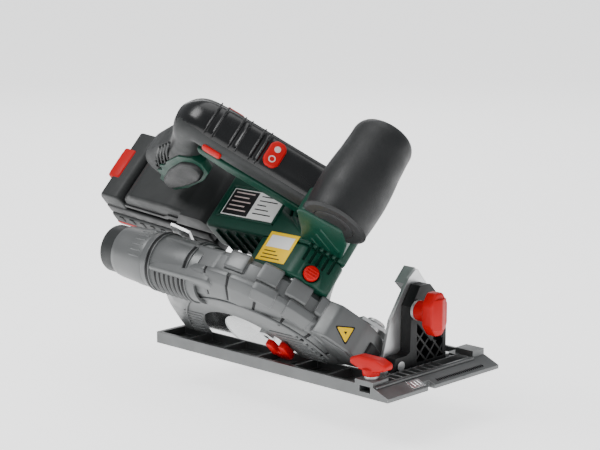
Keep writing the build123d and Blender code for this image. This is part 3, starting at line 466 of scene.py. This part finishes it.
def stage():
    """Camera, area lights, pale world and floor."""
    camera = bpy.data.objects.new("camera", bpy.data.cameras.new("camera"))
    camera.data.lens, camera.data.sensor_width = 114.3, 36
    camera.data.clip_end = 20
    camera.location = CAMERA_PLACE
    camera.rotation_euler = (-CAMERA_BACKWARD).to_track_quat("-Z", "Y").to_euler()
    bpy.context.scene.collection.objects.link(camera)
    bpy.context.scene.camera = camera
    for name, place, size, power in LIGHTS:
        light = bpy.data.objects.new(name, bpy.data.lights.new(name, "AREA"))
        light.data.size, light.data.energy = size, power
        light.location = place
        light.rotation_euler = (LIGHT_TARGET - Vector(place)).to_track_quat("-Z", "Y").to_euler()
        bpy.context.scene.collection.objects.link(light)
    world = bpy.data.worlds.new("studio")
    world.use_nodes = True
    sky = world.node_tree.nodes["Background"]
    sky.inputs["Color"].default_value = (0.95, 0.97, 1.0, 1)
    sky.inputs["Strength"].default_value = 0.42
    bpy.context.scene.world = world
    floor_mesh = bpy.data.meshes.new("floor")
    level = cad_low.z - 0.0005
    corners = [(a * FLOOR_REACH, b * FLOOR_REACH, level) for a, b in ((-1, -1), (1, -1), (1, 1), (-1, 1))]
    floor_mesh.from_pydata(corners, [], [(0, 1, 2, 3)])
    floor = bpy.data.objects.new("floor", floor_mesh)
    bpy.context.scene.collection.objects.link(floor)
    pale = surface("pale_floor", (0.86, 0.86, 0.86), 0.7, 0, 0.01, (300, 0.02))
    shader = pale.node_tree.nodes["Principled BSDF"]
    shader.inputs["Emission Color"].default_value = (1, 1, 1, 1)
    shader.inputs["Emission Strength"].default_value = 1.5
    floor_mesh.materials.append(pale)


# ---- upper guard ------------------------------------------------------------------------------
def upper_guard():
    """Shell, tread, crown blocks, spigot neck, louvres, nose and the vent on the neck."""
    right, left, rim = GUARD_RIGHT, GUARD_LEFT, GUARD_RIM
    shell = [(52, right), (80, right), (91, right + 6), (rim, right + 13), (rim, left - 5), (rim - 4, left),
             (17.5, left), (17.5, left - 2.5), (88, left - 2.5), (88, right + 8), (78, right + 2.5),
             (52, right + 2.5)]
    parts = [(clear_of_base(about_arbor(shell, (0, 360))), "silver")]
    # tread blocks on the right shoulder over a black band of painted shade that shows in the slits
    tread = [(79, right - 1.0), (92.5, right + 4.5), (98, right + 11), (98, right + 15), (90, right + 15),
             (79, right + 1)]
    band = [(79.6, right - 0.2), (92, right + 5.3), (97, right + 11.4), (97, right + 14.6),
            (90, right + 14.6), (79.6, right + 1)]
    parts.append((clear_of_base(about_arbor(band, (-8, 100))), "black"))
    for high, low in zip(TREAD_SLITS, TREAD_SLITS[1:]):
        parts.append((clear_of_base(about_arbor(tread, (low + 0.75, high - 0.75), 0.7)), "silver"))
    # raised blocks on the crown
    for low, high, tall in CROWN_BLOCKS:
        crown = [(88, -4), (tall - 2, -4), (tall, -2), (tall, 11), (tall - 2, 13), (88, 13)]
        parts.append((clear_of_base(about_arbor(crown, (low, high), 0.7)), "silver"))
    # smooth rear crown flowing into the spigot neck, with two grooves round it whose black floors are painted
    # shade
    neck = [(20.5, -58), (23.2, -58), (23.2, 0), (20.5, 0)]
    parts.append((along_port(neck, soft=0.4), "silver"))
    for middle in (-8, -47):
        groove = [(23.0, middle - 1.6), (23.9, middle - 1.6), (23.9, middle + 1.6), (23.0, middle + 1.6)]
        parts.append((along_port(groove, soft=0.4), "black"))
        for edge in (-2.6, 1.6):
            near, far = middle + edge, middle + edge + 1
            lip = [(23.0, near), (24.6, near), (24.6, far), (23.0, far)]
            parts.append((along_port(lip, soft=0.4), "silver"))
    saddle = rounded([(-196, 84), (-190, 126), (-150, 123), (-118, 121), (-128, 96), (-168, 74),
                      (-190, 66)], 9)
    parts.append((prism(saddle, right + 1.5, left - 1.0, soft=5, segments=4), "silver"))
    # right flank: border bead and louvres, in a darker copy of the silver paint that is painted shade
    bead_y = right - 0.4
    border = [(-196, 44), (-182, 68.5), (-160, 90), (-135.5, 98.8), (-112, 100), (-90, 96), (-66, 84),
              (-49, 66), (-41, 44)]
    parts.append((tube(smooth_path([(x, bead_y, z) for x, z in border]), 1.1), "shaded_silver"))
    for i in range(8):
        z = 35 + 4.6 * i
        rise = z - ARBOR.z
        window = (WINDOW_RADIUS ** 2 - rise ** 2) ** 0.5
        rear, front = (70 ** 2 - rise ** 2) ** 0.5, (85 ** 2 - rise ** 2) ** 0.5
        for x0, x1 in ((ARBOR.x - rear, ARBOR.x - window), (ARBOR.x + window + 6, ARBOR.x + front - 3)):
            if x1 - x0 > 5:
                parts.append((block(x0, x1, right - 0.9, right + 0.5, z - 1.3, z + 0.7, 0.5), "shaded_silver"))
    # front nose with the facet that carries the yellow mark, and the dark laser window frame
    for low, high, tall in SHOULDER_BLOCKS:
        plate = [(84, right + 4), (tall - 6, right + 4), (tall, right + 10), (tall, -6), (tall - 2, -4),
                 (84, -4)]
        parts.append((clear_of_base(about_arbor(plate, (low, high), 0.7)), "silver"))
    nose = rounded([(-70, 14), (-22, 14), (-16, 34), *NOSE_FACET, (-44, 74), (-60, 60)], 3)
    parts.append((clear_of_base(prism(nose, right + 5, left, soft=2.5, segments=3)), "silver"))
    # the cheek is in a darker copy of the silver paint: painted shade on the side of the nose
    cheek = rounded([(-50, 34), (-21, 30), (-21, 52), (-36, 70)], 3)
    parts.append((clear_of_base(prism(cheek, right + 3.6, right + 14, soft=1.2)), "shaded_silver"))
    parts.append((clear_of_base(block(-20, -14.8, -12, 2, 24, 39, 1.2)), "black"))
    # dark louvred vent on the side of the neck, its fins in a darker copy of the silver paint that is painted
    # shade
    vent = [(22.5, -43), (23.7, -43), (23.7, -13), (22.5, -13)]
    parts.append((along_port(vent, (-26, 50), soft=0.3), "black"))
    for i in range(6):
        start = -42 + 5 * i
        fin = [(22.5, start), (24.8, start + 1.8), (24.8, start + 2.6), (22.5, start + 2.2)]
        parts.append((along_port(fin, (-24, 48), soft=0.25), "shaded_silver"))
    piece("guard_shell", parts, "head", ["upper_guard"])


def guard_mark():
    """Plain yellow triangle with a dark border on the nose facet."""
    (x0, z0), (x1, z1) = NOSE_FACET
    slope = atan2(x0 - x1, z1 - z0)
    place = Matrix.Translation(((x0 + x1) / 2, -5.5, (z0 + z1) / 2)) @ Matrix.Rotation(pi / 2 - slope, 4, "Y")
    parts = []
    for size, height, key in ((9.8, 0.45, "ink"), (8.0, 0.65, "yellow"), (1.6, 0.85, "ink")):
        outline = [(size * cos(radians(a)), size * sin(radians(a))) for a in (180, 300, 60)]
        tri = prism(rounded(outline, size * 0.18), -0.3, height, "z", soft=0.1, segments=1)
        tri.transform(place)
        parts.append((tri, key))
    piece("nose_mark", parts, "head")


# ---- dust spigot ------------------------------------------------------------------------------
def dust_port():
    """Ribbed cup at the end of the neck."""
    cup = [(PORT_BORE, 0), (22.9, 0), (23.2, 2), (23.2, 9), (22.6, 13), (21.6, 30), (20.8, 35),
           (PORT_BORE, 35)]
    parts = [(along_port(cup, soft=0.5), "silver")]
    for i in range(9):
        a = 60 + 12 * i
        rib = along_port([(21.5, 2), (24.0, 3), (23.2, 14), (21.5, 14)], (a, a + 3.2), 240, 0.4)
        parts.append((rib, "silver"))
    piece("spigot", parts, "head", ["dust_port"])


def dust_ring():
    """Dark ring at the mouth of the spigot."""
    ring = [(PORT_BORE, 35), (20.0, 35), (20.0, 36), (19.6, 37), (19.6, 47), (18.8, 49), (PORT_BORE, 49)]
    parts = [(along_port(ring, soft=0.3), "grey")]
    piece("spigot_ring", parts, "head", ["dust_ring"])


# ---- motor and gear case ----------------------------------------------------------------------
def chamfer_grooves(y0, y1):
    """Cutters for the grooves that run across the machine on the sloping corner of the cases."""
    (x0, z0), (x1, z1) = CHAMFER
    cutters = []
    for i in range(5):
        share = (i + 0.7) / 5.4
        groove = block(-2.4, 1.6, y0, y1, -1.3, 1.3, 0.4)
        spot = (x0 + (x1 - x0) * share, 0, z0 + (z1 - z0) * share)
        groove.transform(Matrix.Translation(spot) @ CORNER)
        cutters.append(groove)
    return cutters


def gear_case():
    """Green gear case with ribs on top, a collar round the spindle lock and three screws."""
    outline = rounded([(-152, 20), (-146, 9), (-134, 5), (-118, 5), (-100, 14), (-84, 34), (-60, 62),
                       (-45, 76), *CHAMFER, (-114, TOP - 0.02), (-128, 80), (-157, 56)], 5)
    body = prism(outline, GEAR_RIGHT + 6.4, 39.8, soft=2.2, segments=3)
    parts = [(body, "green")]
    for i in range(3):
        x = -112 + 15 * i
        parts.append((block(x, x + 3, 13, 17, TOP - 30, TOP - 0.5, 1.0), "green"))
    collar = lathe([(6.9, -2.5), (8.4, -2.5), (8.4, 1.4), (6.9, 1.4)], LOCK_SPOT, (1, 0, 1), soft=0.5)
    parts.append((collar, "green"))
    screw = [(0, 0), (4.2, 0), (4.2, 1.6), (3.4, 2.2), (2.2, 2.2), (2.0, 1.0), (0, 1.0)]
    for x, z in ((-116, 92), (-70, 92), (-76, 50)):
        parts.append((lathe(screw, (x, 12.3, z), (0, -1, 0), soft=0.2, steps=36), "zinc"))
    case = piece("gear_case", parts, "head", ["gearbox_housing"])
    carve(case, chamfer_grooves(27, 41))


def motor_case():
    """Green motor case with grooves on its corner and slits in its top."""
    outline = rounded([(-132, 28), (-99, 28), (-60, 65), (-45, 76), *CHAMFER, (-182, TOP - 0.02),
                       (-184, 74), (-151, 62), (-148, 42)], 5)
    body = prism(outline, MOTOR_RIGHT + 0.1, MOTOR_END - 0.2, soft=3, segments=4)
    case = piece("motor_case", [(body, "green")], "head", ["motor_housing"])
    cutters = chamfer_grooves(39, 61)
    for i in range(4):
        near, bend, far = (-120 + 9 * i, 86 - 2 * i), (-105 + 8.5 * i, 80 - 2 * i), (-99 + 8 * i, 61)
        slit = [near, bend, far, (far[0] + 2.8, far[1]), (bend[0] + 2.8, bend[1] + 2),
                (near[0] + 1, near[1] + 2.8)]
        cutters.append(prism(rounded(slit, 2.5), TOP - 6, TOP + 3, "z", soft=0))
    carve(case, cutters)


def motor_details():
    """Ribs, the frame round the label and the neck that carries the front handle."""
    parts = []
    neck = rounded([(-80, 98), (-52, 81), (-46, 83), (-27, 104), (-18, 126), (-44, 148), (-52, 146),
                    (-66, 118)], 5)
    parts.append((prism(neck, 43.5, 66, soft=2, segments=3), "green"))
    for i in range(3):
        rib = block(-62 + 10 * i, -60 + 10 * i, 42.6, 50, 94, 108 + 8 * i, 0.8)
        parts.append((rib, "green"))
    cap = block(-1.6, 1.8, 59.2, 61.4, -14, 14, 0.6)
    cap.transform(Matrix.Translation((LOCK_SPOT.x, 0, LOCK_SPOT.z)) @ CORNER)
    parts.append((cap, "grey"))
    label_low, label_high = node_box("rating_label")
    for y0, y1 in ((label_low.y - 2.4, label_low.y - 0.8), (label_high.y + 0.8, label_high.y + 2.4)):
        parts.append((block(label_low.x - 3, label_high.x + 3, y0, y1, TOP - 3, TOP + 1.2, 0.6), "green"))
    for x0, x1 in ((label_low.x - 3, label_low.x - 1.4), (label_high.x + 1.4, label_high.x + 3)):
        parts.append((block(x0, x1, label_low.y - 2.4, label_high.y + 2.4, TOP - 3, TOP + 1.2, 0.6), "green"))
    for i in range(5):
        x = -172 + 11 * i
        parts.append((block(x, x + 2.4, 38.6, 42, 66, 98, 0.8), "green"))
    piece("motor_trim", parts, "head")


def motor_end():
    """End cover with a ring of slots about the motor's axis."""
    outline = rounded([(-130, 30), (-100, 30), (-62, 66), (-50, 82), (-67, 102), (-140, 102), (-147, 64)], 7)
    cover = prism(outline, MOTOR_END, MOTOR_END + 8, soft=2.5, segments=4)
    cap = piece("end_cover", [(cover, "green")], "head", ["motor_cap"])
    cutters = []
    axis = UPRIGHT @ Vector(JOINTS["rotor_spin"]["pos_m"])
    middle = Matrix.Translation((axis.x, 0, axis.z))
    for i in range(12):
        slot_cut = block(15, 30, MOTOR_END - 2, MOTOR_END + 12, -1.5, 1.5, 0.6)
        slot_cut.transform(middle @ Matrix.Rotation(radians(30 * i), 4, "Y"))
        cutters.append(slot_cut)
    carve(cap, cutters)


def labels():
    """Two labels with plain bars in place of print, each raised a little over its sheet."""
    low, high = node_box("rating_label")
    raised = (low.z + 0.2, low.z + 0.42)
    parts = [(block(low.x, high.x, low.y, high.y, low.z, low.z + 0.35, 0.15), "white")]
    half = low.x + (high.x - low.x) * 0.5
    parts.append((block(low.x + 1, half, low.y + 1, high.y - 1, *raised, 0.05), "ink"))
    for i in range(5):
        y = low.y + 5 + 4.2 * i
        pale = block(low.x + 4, half - 4 - 4 * (i % 2), y, y + 1.1, low.z + 0.3, low.z + 0.5, 0.03)
        dark = block(half + 4, high.x - 5 - 5 * (i % 3), y, y + 1.0, *raised, 0.03)
        parts += [(pale, "mark"), (dark, "ink")]
    piece("rating_plate", parts, "head", ["rating_label"])
    low, high = node_box("notice_label")
    raised = (low.z + 0.2, low.z + 0.42)
    parts = [(block(low.x, high.x, low.y, high.y, low.z, low.z + 0.35, 0.15), "yellow")]
    parts.append((block(low.x + 3, high.x - 3, low.y + 13, high.y - 3, *raised, 0.05), "white"))
    for i in range(3):
        y = low.y + 3.2 * i
        parts.append((block(low.x + 4, high.x - 7 - 4 * i, y + 2.5, y + 3.4, *raised, 0.03), "ink"))
    piece("notice_plate", parts, "head", ["notice_label"])


# ---- handles ----------------------------------------------------------------------------------
def rear_handle():
    """The bar in two shells, each with four ribs by the thumb."""
    for name, keep in (("handle_right", -1), ("handle_left", 1)):
        half = keep_side(loft(HANDLE_LINE), (0, HAND_Y + keep * 0.12, 0), (0, keep, 0))
        parts = [(half, "grey")]
        side = HAND_Y + keep * 16.8
        for i in range(4):
            step = smooth_path([(-184 - 6 * i, side, 178 - 3 * i), (-198 - 6 * i, side, 164 - 3 * i),
                                (-208 - 6 * i, side, 148 - 3 * i)])
            parts.append((tube(step, 1.2), "grey"))
        shell = piece(name, parts, "head", [name + "_shell"])
        carve(shell, [trigger_pocket()])


def trigger_pocket():
    """Cutter for the room that the trigger moves into."""
    slot = [(-154, 186), (-116, 152), (-120, 136), (-166, 160)]
    return prism(slot, HAND_Y - 9, HAND_Y + 9, soft=0)


def handle_green():
    """Green core showing along the bar's underside and round the thumb lobe."""
    parts = []
    strip = rounded([(-64, 96), (-150, 180), (-154, 172), (-138, 152), (-76, 92)], 3)
    y0, y1 = HAND_Y - HAND_HALF - 0.4, HAND_Y + HAND_HALF + 0.4
    parts.append((prism(strip, y0, y1, soft=1.6, segments=3), "green"))
    steps = [(-237, 123), (-230, 130), (-230, 137), (-222, 138), (-221, 145), (-213, 146), (-206, 152),
             (-184, 163), (-168, 163), (-161, 156), (-162, 145), (-176, 133), (-206, 117), (-230, 109)]
    for y0, y1 in ((HAND_Y - HAND_HALF - 1.2, HAND_Y - 12), (HAND_Y + 12, HAND_Y + HAND_HALF + 1.2)):
        parts.append((prism(rounded(steps, 1.2, 2), y0, y1, soft=0.6), "green"))
    piece("handle_core", parts, "head")


def thumb_lobes():
    """Soft lobes where the thumb and fingers rest, one on each side."""
    lobe = rounded([(-232, 124), (-212, 141), (-184, 157), (-168, 157), (-166, 146), (-180, 133), (-206, 121),
                    (-229, 113)], 7, 5)
    parts = []
    for y0, y1 in ((HAND_Y - HAND_HALF - 4.5, HAND_Y - 10), (HAND_Y + 10, HAND_Y + HAND_HALF + 4.5)):
        parts.append((prism(lobe, y0, y1, soft=3.5, segments=5), "rubber"))
    piece("handle_lobes", parts, "head")


def handle_pad():
    """Ribbed top pad, wrapping round the rear end of the bar."""
    stations = []
    for i, (x, z, wide, thick, square) in enumerate(HANDLE_LINE[1:PAD_STATIONS]):
        before, after = HANDLE_LINE[i], HANDLE_LINE[i + 2]
        ahead = Vector((after[0] - before[0], after[1] - before[1])).normalized()
        rise = 1.5 if i < PAD_STATIONS - 3 else 0.9
        stations.append((x + ahead.y * rise, z - ahead.x * rise, wide - 1.7, thick, square))
    parts = [(loft(stations), "gloss")]
    along = Vector((-1, 0, 1)).normalized()
    out = Vector((1, 0, 1)).normalized()
    for s in PAD_RIBS:
        spot = PAD_START + along * s
        rib = block(-0.6, 0.6, -15.0, 15.0, -1.5, 0.9, 0.5)
        rib.transform(Matrix.Translation(spot + out * 0.2) @ SLOPE)
        parts.append((rib, "gloss"))
    pad = piece("pad", parts, "head", ["handle_pad"])
    carve(pad, [trigger_pocket()])


def front_handle():
    """Soft barrel with a swell and a domed end, and the plate it stands on."""
    low, high = GRIP_LOW, GRIP_HIGH
    x, z = (low.x + high.x) / 2, (low.z + high.z) / 2
    r = (high.x - low.x) / 2
    y0, y1 = low.y, high.y - 3.5
    profile = [(16.8, y0), (r - 3.5, y0), (r - 1.9, y0 + 1.2), (r - 1.2, y0 + 4)]
    for i in range(1, 15):
        t = i / 15
        swell = 1.3 * sin(pi * min(1, t * 1.35)) - 4.5 * max(0, t - 0.4) ** 1.7
        profile.append((r - 1.2 + swell, y0 + 4 + (y1 - y0 - 16) * t))
    tip_r = profile[-1][0]
    for i in range(1, 9):
        a = i / 9 * pi / 2
        profile.append((tip_r * 0.62 + tip_r * 0.38 * cos(a), y1 - 12 + 11.8 * sin(a)))
    profile += [(0, y1), (0, y1 - 4), (16.8, y1 - 16)]
    parts = [(lathe(profile, (x, 0, z), (0, 1, 0), steps=120), "rubber")]
    rim = [(r - 4, y0 + 1.5), (r - 0.8, y0 + 1.5), (r - 0.6, y0 + 2.1), (r - 4, y0 + 2.3)]
    parts.append((lathe(rim, (x, 0, z), (0, 1, 0), steps=120, soft=0.2), "rubber"))
    piece("front_grip", parts, "head", ["front_handle_grip"])
    face = [(0, y0 + 0.4), (9, y0 + 0.4), (10, y0 - 0.2), (16.5, y0 - 0.2), (16.5, y0 + 2), (0, y0 + 2)]
    disc = lathe(face, (x, 0, z), (0, 1, 0), soft=0.3)
    piece("front_plate", [(disc, "rubber")], "head", ["front_handle_plate"])


# ---- battery ----------------------------------------------------------------------------------
def battery():
    """Tray, lid and tower of the pack with its red stripe, and the red latch."""
    y0, y1 = HAND_Y - BATTERY_HALF, HAND_Y + BATTERY_HALF
    parts = []
    tray = block(-325, -205, y0, y1, 62, 80, 3.0, segments=4)
    lid = block(-324, -206, y0 + 1, y1 - 1, 80.6, 92, 2.0, segments=3)
    tower = rounded([(-325, 90), (-300, 90), (-300, 104), (-304, 108), (-321, 108), (-325, 102)], 2.5)
    tower = prism(tower, y0 + 2, y1 - 2, soft=1.8, segments=3)
    parts += [(tray, "grey"), (lid, "black"), (tower, "grey")]
    parts.append((block(-323, -207, y0 - 0.4, y1 + 0.4, 66.6, 68.6, 0.5), "red"))
    for i in range(9):
        x = -316 + 12 * i
        parts.append((block(x, x + 5, y0 - 0.7, y0 + 3, 71, 78, 0.8), "black"))
        parts.append((block(x, x + 5, y1 - 3, y1 + 0.7, 71, 78, 0.8), "black"))
    for i in range(5):
        y = y0 + 12 + 12 * i
        parts.append((block(-325.8, -322, y - 2.5, y + 2.5, 66, 86, 0.8), "black"))
    shift_all(parts, BATTERY_TILT)
    piece("battery_pack", parts, "battery", ["battery_case"])
    latch = block(-326.2, -313, HAND_Y - 15.2, HAND_Y + 15.2, 92, 109, 2.2, segments=3)
    teeth = [block(-327, -325, HAND_Y - 11, HAND_Y + 11, 95 + 3.6 * i, 96.6 + 3.6 * i, 0.5)
             for i in range(4)]
    parts = [(bm, "red") for bm in [latch] + teeth]
    shift_all(parts, BATTERY_TILT)
    piece("battery_button", parts, "battery_latch", ["battery_latch"])


def battery_foot():
    """Foot of the handle over the battery, with a dark stepped line and a heel."""
    y0, y1 = HAND_Y - FOOT_HALF, HAND_Y + FOOT_HALF
    parts = []
    side = rounded([(-297, 93), (-193, 93), (-190, 104), (-200, 113), (-240, 118), (-286, 116),
                    (-297, 106)], 4)
    parts.append((prism(side, y0 + 1, y1 - 1, soft=3.2, segments=4), "grey"))
    band = rounded([(-298, 96.5), (-250, 96.5), (-244, 101), (-214, 101), (-214, 104.5), (-246, 104.5),
                    (-252, 100.5), (-298, 100.5)], 1)
    parts.append((prism(band, y0 - 0.3, y1 + 0.3, soft=0.5), "black"))
    heel = rounded([(-240, 97), (-196, 97), (-192, 106), (-204, 116), (-226, 116)], 3)
    parts.append((prism(heel, y0 - 1.2, y1 + 1.2, soft=2, segments=3), "grey"))
    shift_all(parts, BATTERY_TILT)
    piece("foot", parts, "head", ["battery_foot"])


# ---- red controls -----------------------------------------------------------------------------
def controls():
    """Spindle lock, light switch, lock-off bar and trigger."""
    button = [(0, -5), (6.1, -5), (6.1, 3.4), (5.3, 4.4), (0, 4.9)]
    parts = [(lathe(button, LOCK_SPOT, (1, 0, 1), soft=0.3, steps=48), "red")]
    for i in range(3):
        rib = block(-4.6, 4.6, -2.9 + 2.3 * i, -1.7 + 2.3 * i, 4.2, 5.3, 0.4)
        rib.transform(Matrix.Translation(LOCK_SPOT) @ SLOPE)
        parts.append((rib, "red"))
    piece("spindle_lock", parts, "spindle_lock", ["spindle_lock_button"])
    low, high = node_box("light_button")
    spot = Matrix.Translation((low + high) / 2) @ SLOPE
    oct_button = rounded([(-7, -7), (-7, 7), (-3.5, 11), (3.5, 11), (7, 7), (7, -7), (3.5, -11),
                          (-3.5, -11)], 2)
    body = prism(oct_button, -3.2, 4.4, "z", soft=1.4, segments=3)
    dot = lathe([(0, 4.2), (2.6, 4.2), (2.6, 4.6), (0, 4.6)], (0, 4, 0), (0, 0, 1), steps=32)
    ring = lathe([(2.0, 4.2), (2.9, 4.2), (2.9, 4.6), (2.0, 4.6)], (0, -5, 0), (0, 0, 1), steps=32)
    parts = [(body, "red"), (dot, "mark"), (ring, "mark")]
    shift_all(parts, spot)
    piece("light_switch", parts, "light_button", ["light_button"])
    low, high = node_box("lock_off_button")
    mid = (low + high) / 2
    parts = []
    for side in (-1, 1):
        shape = rounded([(-8.5, -4.6), (8.5, -4.6), (8.5, 4.6), (-8.5, 4.6)], 4.2, 6)
        ends = sorted((0, side * (high.y - mid.y - 2)))
        bar = prism(shape, *ends, soft=1.4, segments=3)
        bar.transform(Matrix.Translation(mid) @ SLOPE)
        parts.append((bar, "red"))
    piece("lock_off_bar", parts, "lock_off", ["lock_off_button"])
    blade = rounded([(-145, 166), (-127, 148.5), (-130, 143), (-140, 146), (-152, 156)], 4)
    parts = [(prism(blade, HAND_Y - 8, HAND_Y + 8, soft=2.5, segments=4), "black")]
    piece("trigger_blade", parts, "trigger", ["trigger"])


def guard_lever():
    """Two-pronged red lever of the lower guard, with a stem that reaches the guard."""
    low, high = node_box("guard_lever")
    x, z = (low.x + high.x) / 2, (low.z + high.z) / 2
    hub = [(-9, -3), (-5, -9), (4, -9), (10, -5), (6, 2), (-6, 2)]
    left_prong = [(-11, -4), (-2, -4), (-3, 11.5), (-9, 12.5)]
    right_prong = [(1, -5), (10, -5), (11, 11.5), (5, 12.5)]
    parts = []
    for shape, radius in ((hub, 3), (left_prong, 2.5), (right_prong, 2.5)):
        outline = rounded([(x + a, z + b) for a, b in shape], radius)
        parts.append((prism(outline, low.y - 0.6, low.y + 4.8, soft=1.8, segments=4), "red"))
    stem = rounded([(x - 6, z - 8), (x + 5, z - 8), (x + 5, z + 2), (x - 6, z + 2)], 3)
    parts.append((prism(stem, low.y + 3, high.y, soft=0.8), "red"))
    piece("lever", parts, "lower_guard", ["guard_lever"])


# ---- base group -------------------------------------------------------------------------------
def knobs():
    """Wing knob of the parallel fence and the knob of the bevel clamp."""
    low, high = node_box("fence_knob", BASE.inverted())
    x, y, z = (low.x + high.x) / 2, (low.y + high.y) / 2, high.z
    wing = rounded([(x - 18, z - 3), (x - 18, z - 7.5), (x - 8, z - 11), (x + 8, z - 11), (x + 18, z - 7.5),
                    (x + 18, z - 3), (x + 10, z), (x - 10, z)], 2.2)
    parts = [(prism(wing, y - 5.3, y + 5.3, soft=2.2, segments=4), "red")]
    boss = [(3.1, low.z), (6.5, low.z), (7.2, z - 9), (3.1, z - 9)]
    parts.append((lathe(boss, (x, y, 0), (0, 0, 1), soft=0.5), "red"))
    piece("fence_wing", parts, "fence_clamp", ["fence_knob"], BASE)
    low, high = node_box("bevel_knob", BASE.inverted())
    mid = (low + high) / 2
    tall, wide = (high.z - low.z) / 2, (high.y - low.y) / 2
    gem = rounded([(-wide, tall * 0.5), (-wide * 0.4, tall), (wide * 0.4, tall), (wide, tall * 0.5),
                   (wide, -tall * 0.5), (wide * 0.4, -tall), (-wide * 0.4, -tall), (-wide, -tall * 0.5)], 2)
    parts = [(prism(gem, high.x - 13, high.x - 3, "x", soft=1.6, segments=3), "red")]
    crease = [(-wide * 0.85, 0), (0, 3.2), (wide * 0.85, 0)]
    ridge = prism([(a, high.x - 3.4 + b) for a, b in crease], -tall * 0.72, tall * 0.72, "z", soft=0.6)
    ridge.transform(Matrix(((0, 1, 0, 0), (1, 0, 0, 0), (0, 0, 1, 0), (0, 0, 0, 1))))
    bmesh.ops.recalc_face_normals(ridge, faces=ridge.faces)
    parts.append((ridge, "red"))
    parts.append((lathe([(3.1, 2.7), (8, 2.7), (8, 14), (3.1, 14)], (0, 0, 0), (1, 0, 0), soft=0.6), "red"))
    shift_all(parts, Matrix.Translation((0, mid.y, mid.z)))
    piece("bevel_wing", parts, "bevel_clamp", ["bevel_knob"], BASE)


def base_trim():
    """Lip ridges, the scale strip and low ribs of the cast sole plate."""
    y0, y1 = BASE_LOW.y, BASE_HIGH.y
    parts = []
    for i in range(24):
        y = 12 + 2.4 * i
        length = 3.6 if i % 5 else 5.6
        parts.append((block(27.6 - length, 27.4, y, y + 0.5, 3.4, 5.4, 0.1), "ink"))
    for x in (14.4, 17.0):
        parts.append((block(x, x + 1.2, y0 + 1, y1 - 16, 8.2, 9.9, 0.4), "cast"))
    for i in range(13):
        x = -206 + 14.4 * i
        parts.append((block(x - 0.8, x + 0.8, y0 + 2, -22, 2.6, 3.5, 0.3), "cast"))
    for i in range(9):
        parts.append((block(-2.5, 14.5, y0 + 20 + 8 * i, y0 + 20.9 + 8 * i, 8.9, 10.0, 0.3), "cast"))
    piece("sole_trim", parts, "base", space=BASE)


# ---- CAD nodes shown as they are --------------------------------------------------------------
CAD_LOOKS = {
    "zinc": ("bevel_pins", "quadrant_screws", "fence_stud", "bevel_arm", "bevel_bolt", "depth_guide",
             "depth_stud", "depth_pin", "guard_spring", "motor_cap_screws", "inner_flange", "outer_flange",
             "blade_bolt", "spindle", "output_gear", "intermediate_gear", "motor_shaft"),
    "black": ("bevel_quadrant", "laser_module", "switch_unit", "front_handle_core", "depth_lever",
              "cooling_fan"),
    "bright": ("cut_sight", "bearings", "lower_guard"),
    "cast": ("base_plate",), "lens": ("laser_window",), "copper": ("stator",), "blade": ("saw_blade",),
    "iron": ("rotor",), "cell": ("battery_cells",),
}


def cad_looks():
    """Gives each CAD node that stays in view its material."""
    for key, nodes in CAD_LOOKS.items():
        for node in nodes:
            mesh = frame["nodes"][node].data
            mesh.materials.clear()
            mesh.materials.append(MATERIALS[key])


stage()
cad_looks()
upper_guard()
guard_mark()
dust_port()
dust_ring()
gear_case()
motor_case()
motor_details()
motor_end()
labels()
rear_handle()
handle_green()
thumb_lobes()
handle_pad()
front_handle()
battery()
battery_foot()
controls()
guard_lever()
knobs()
base_trim()
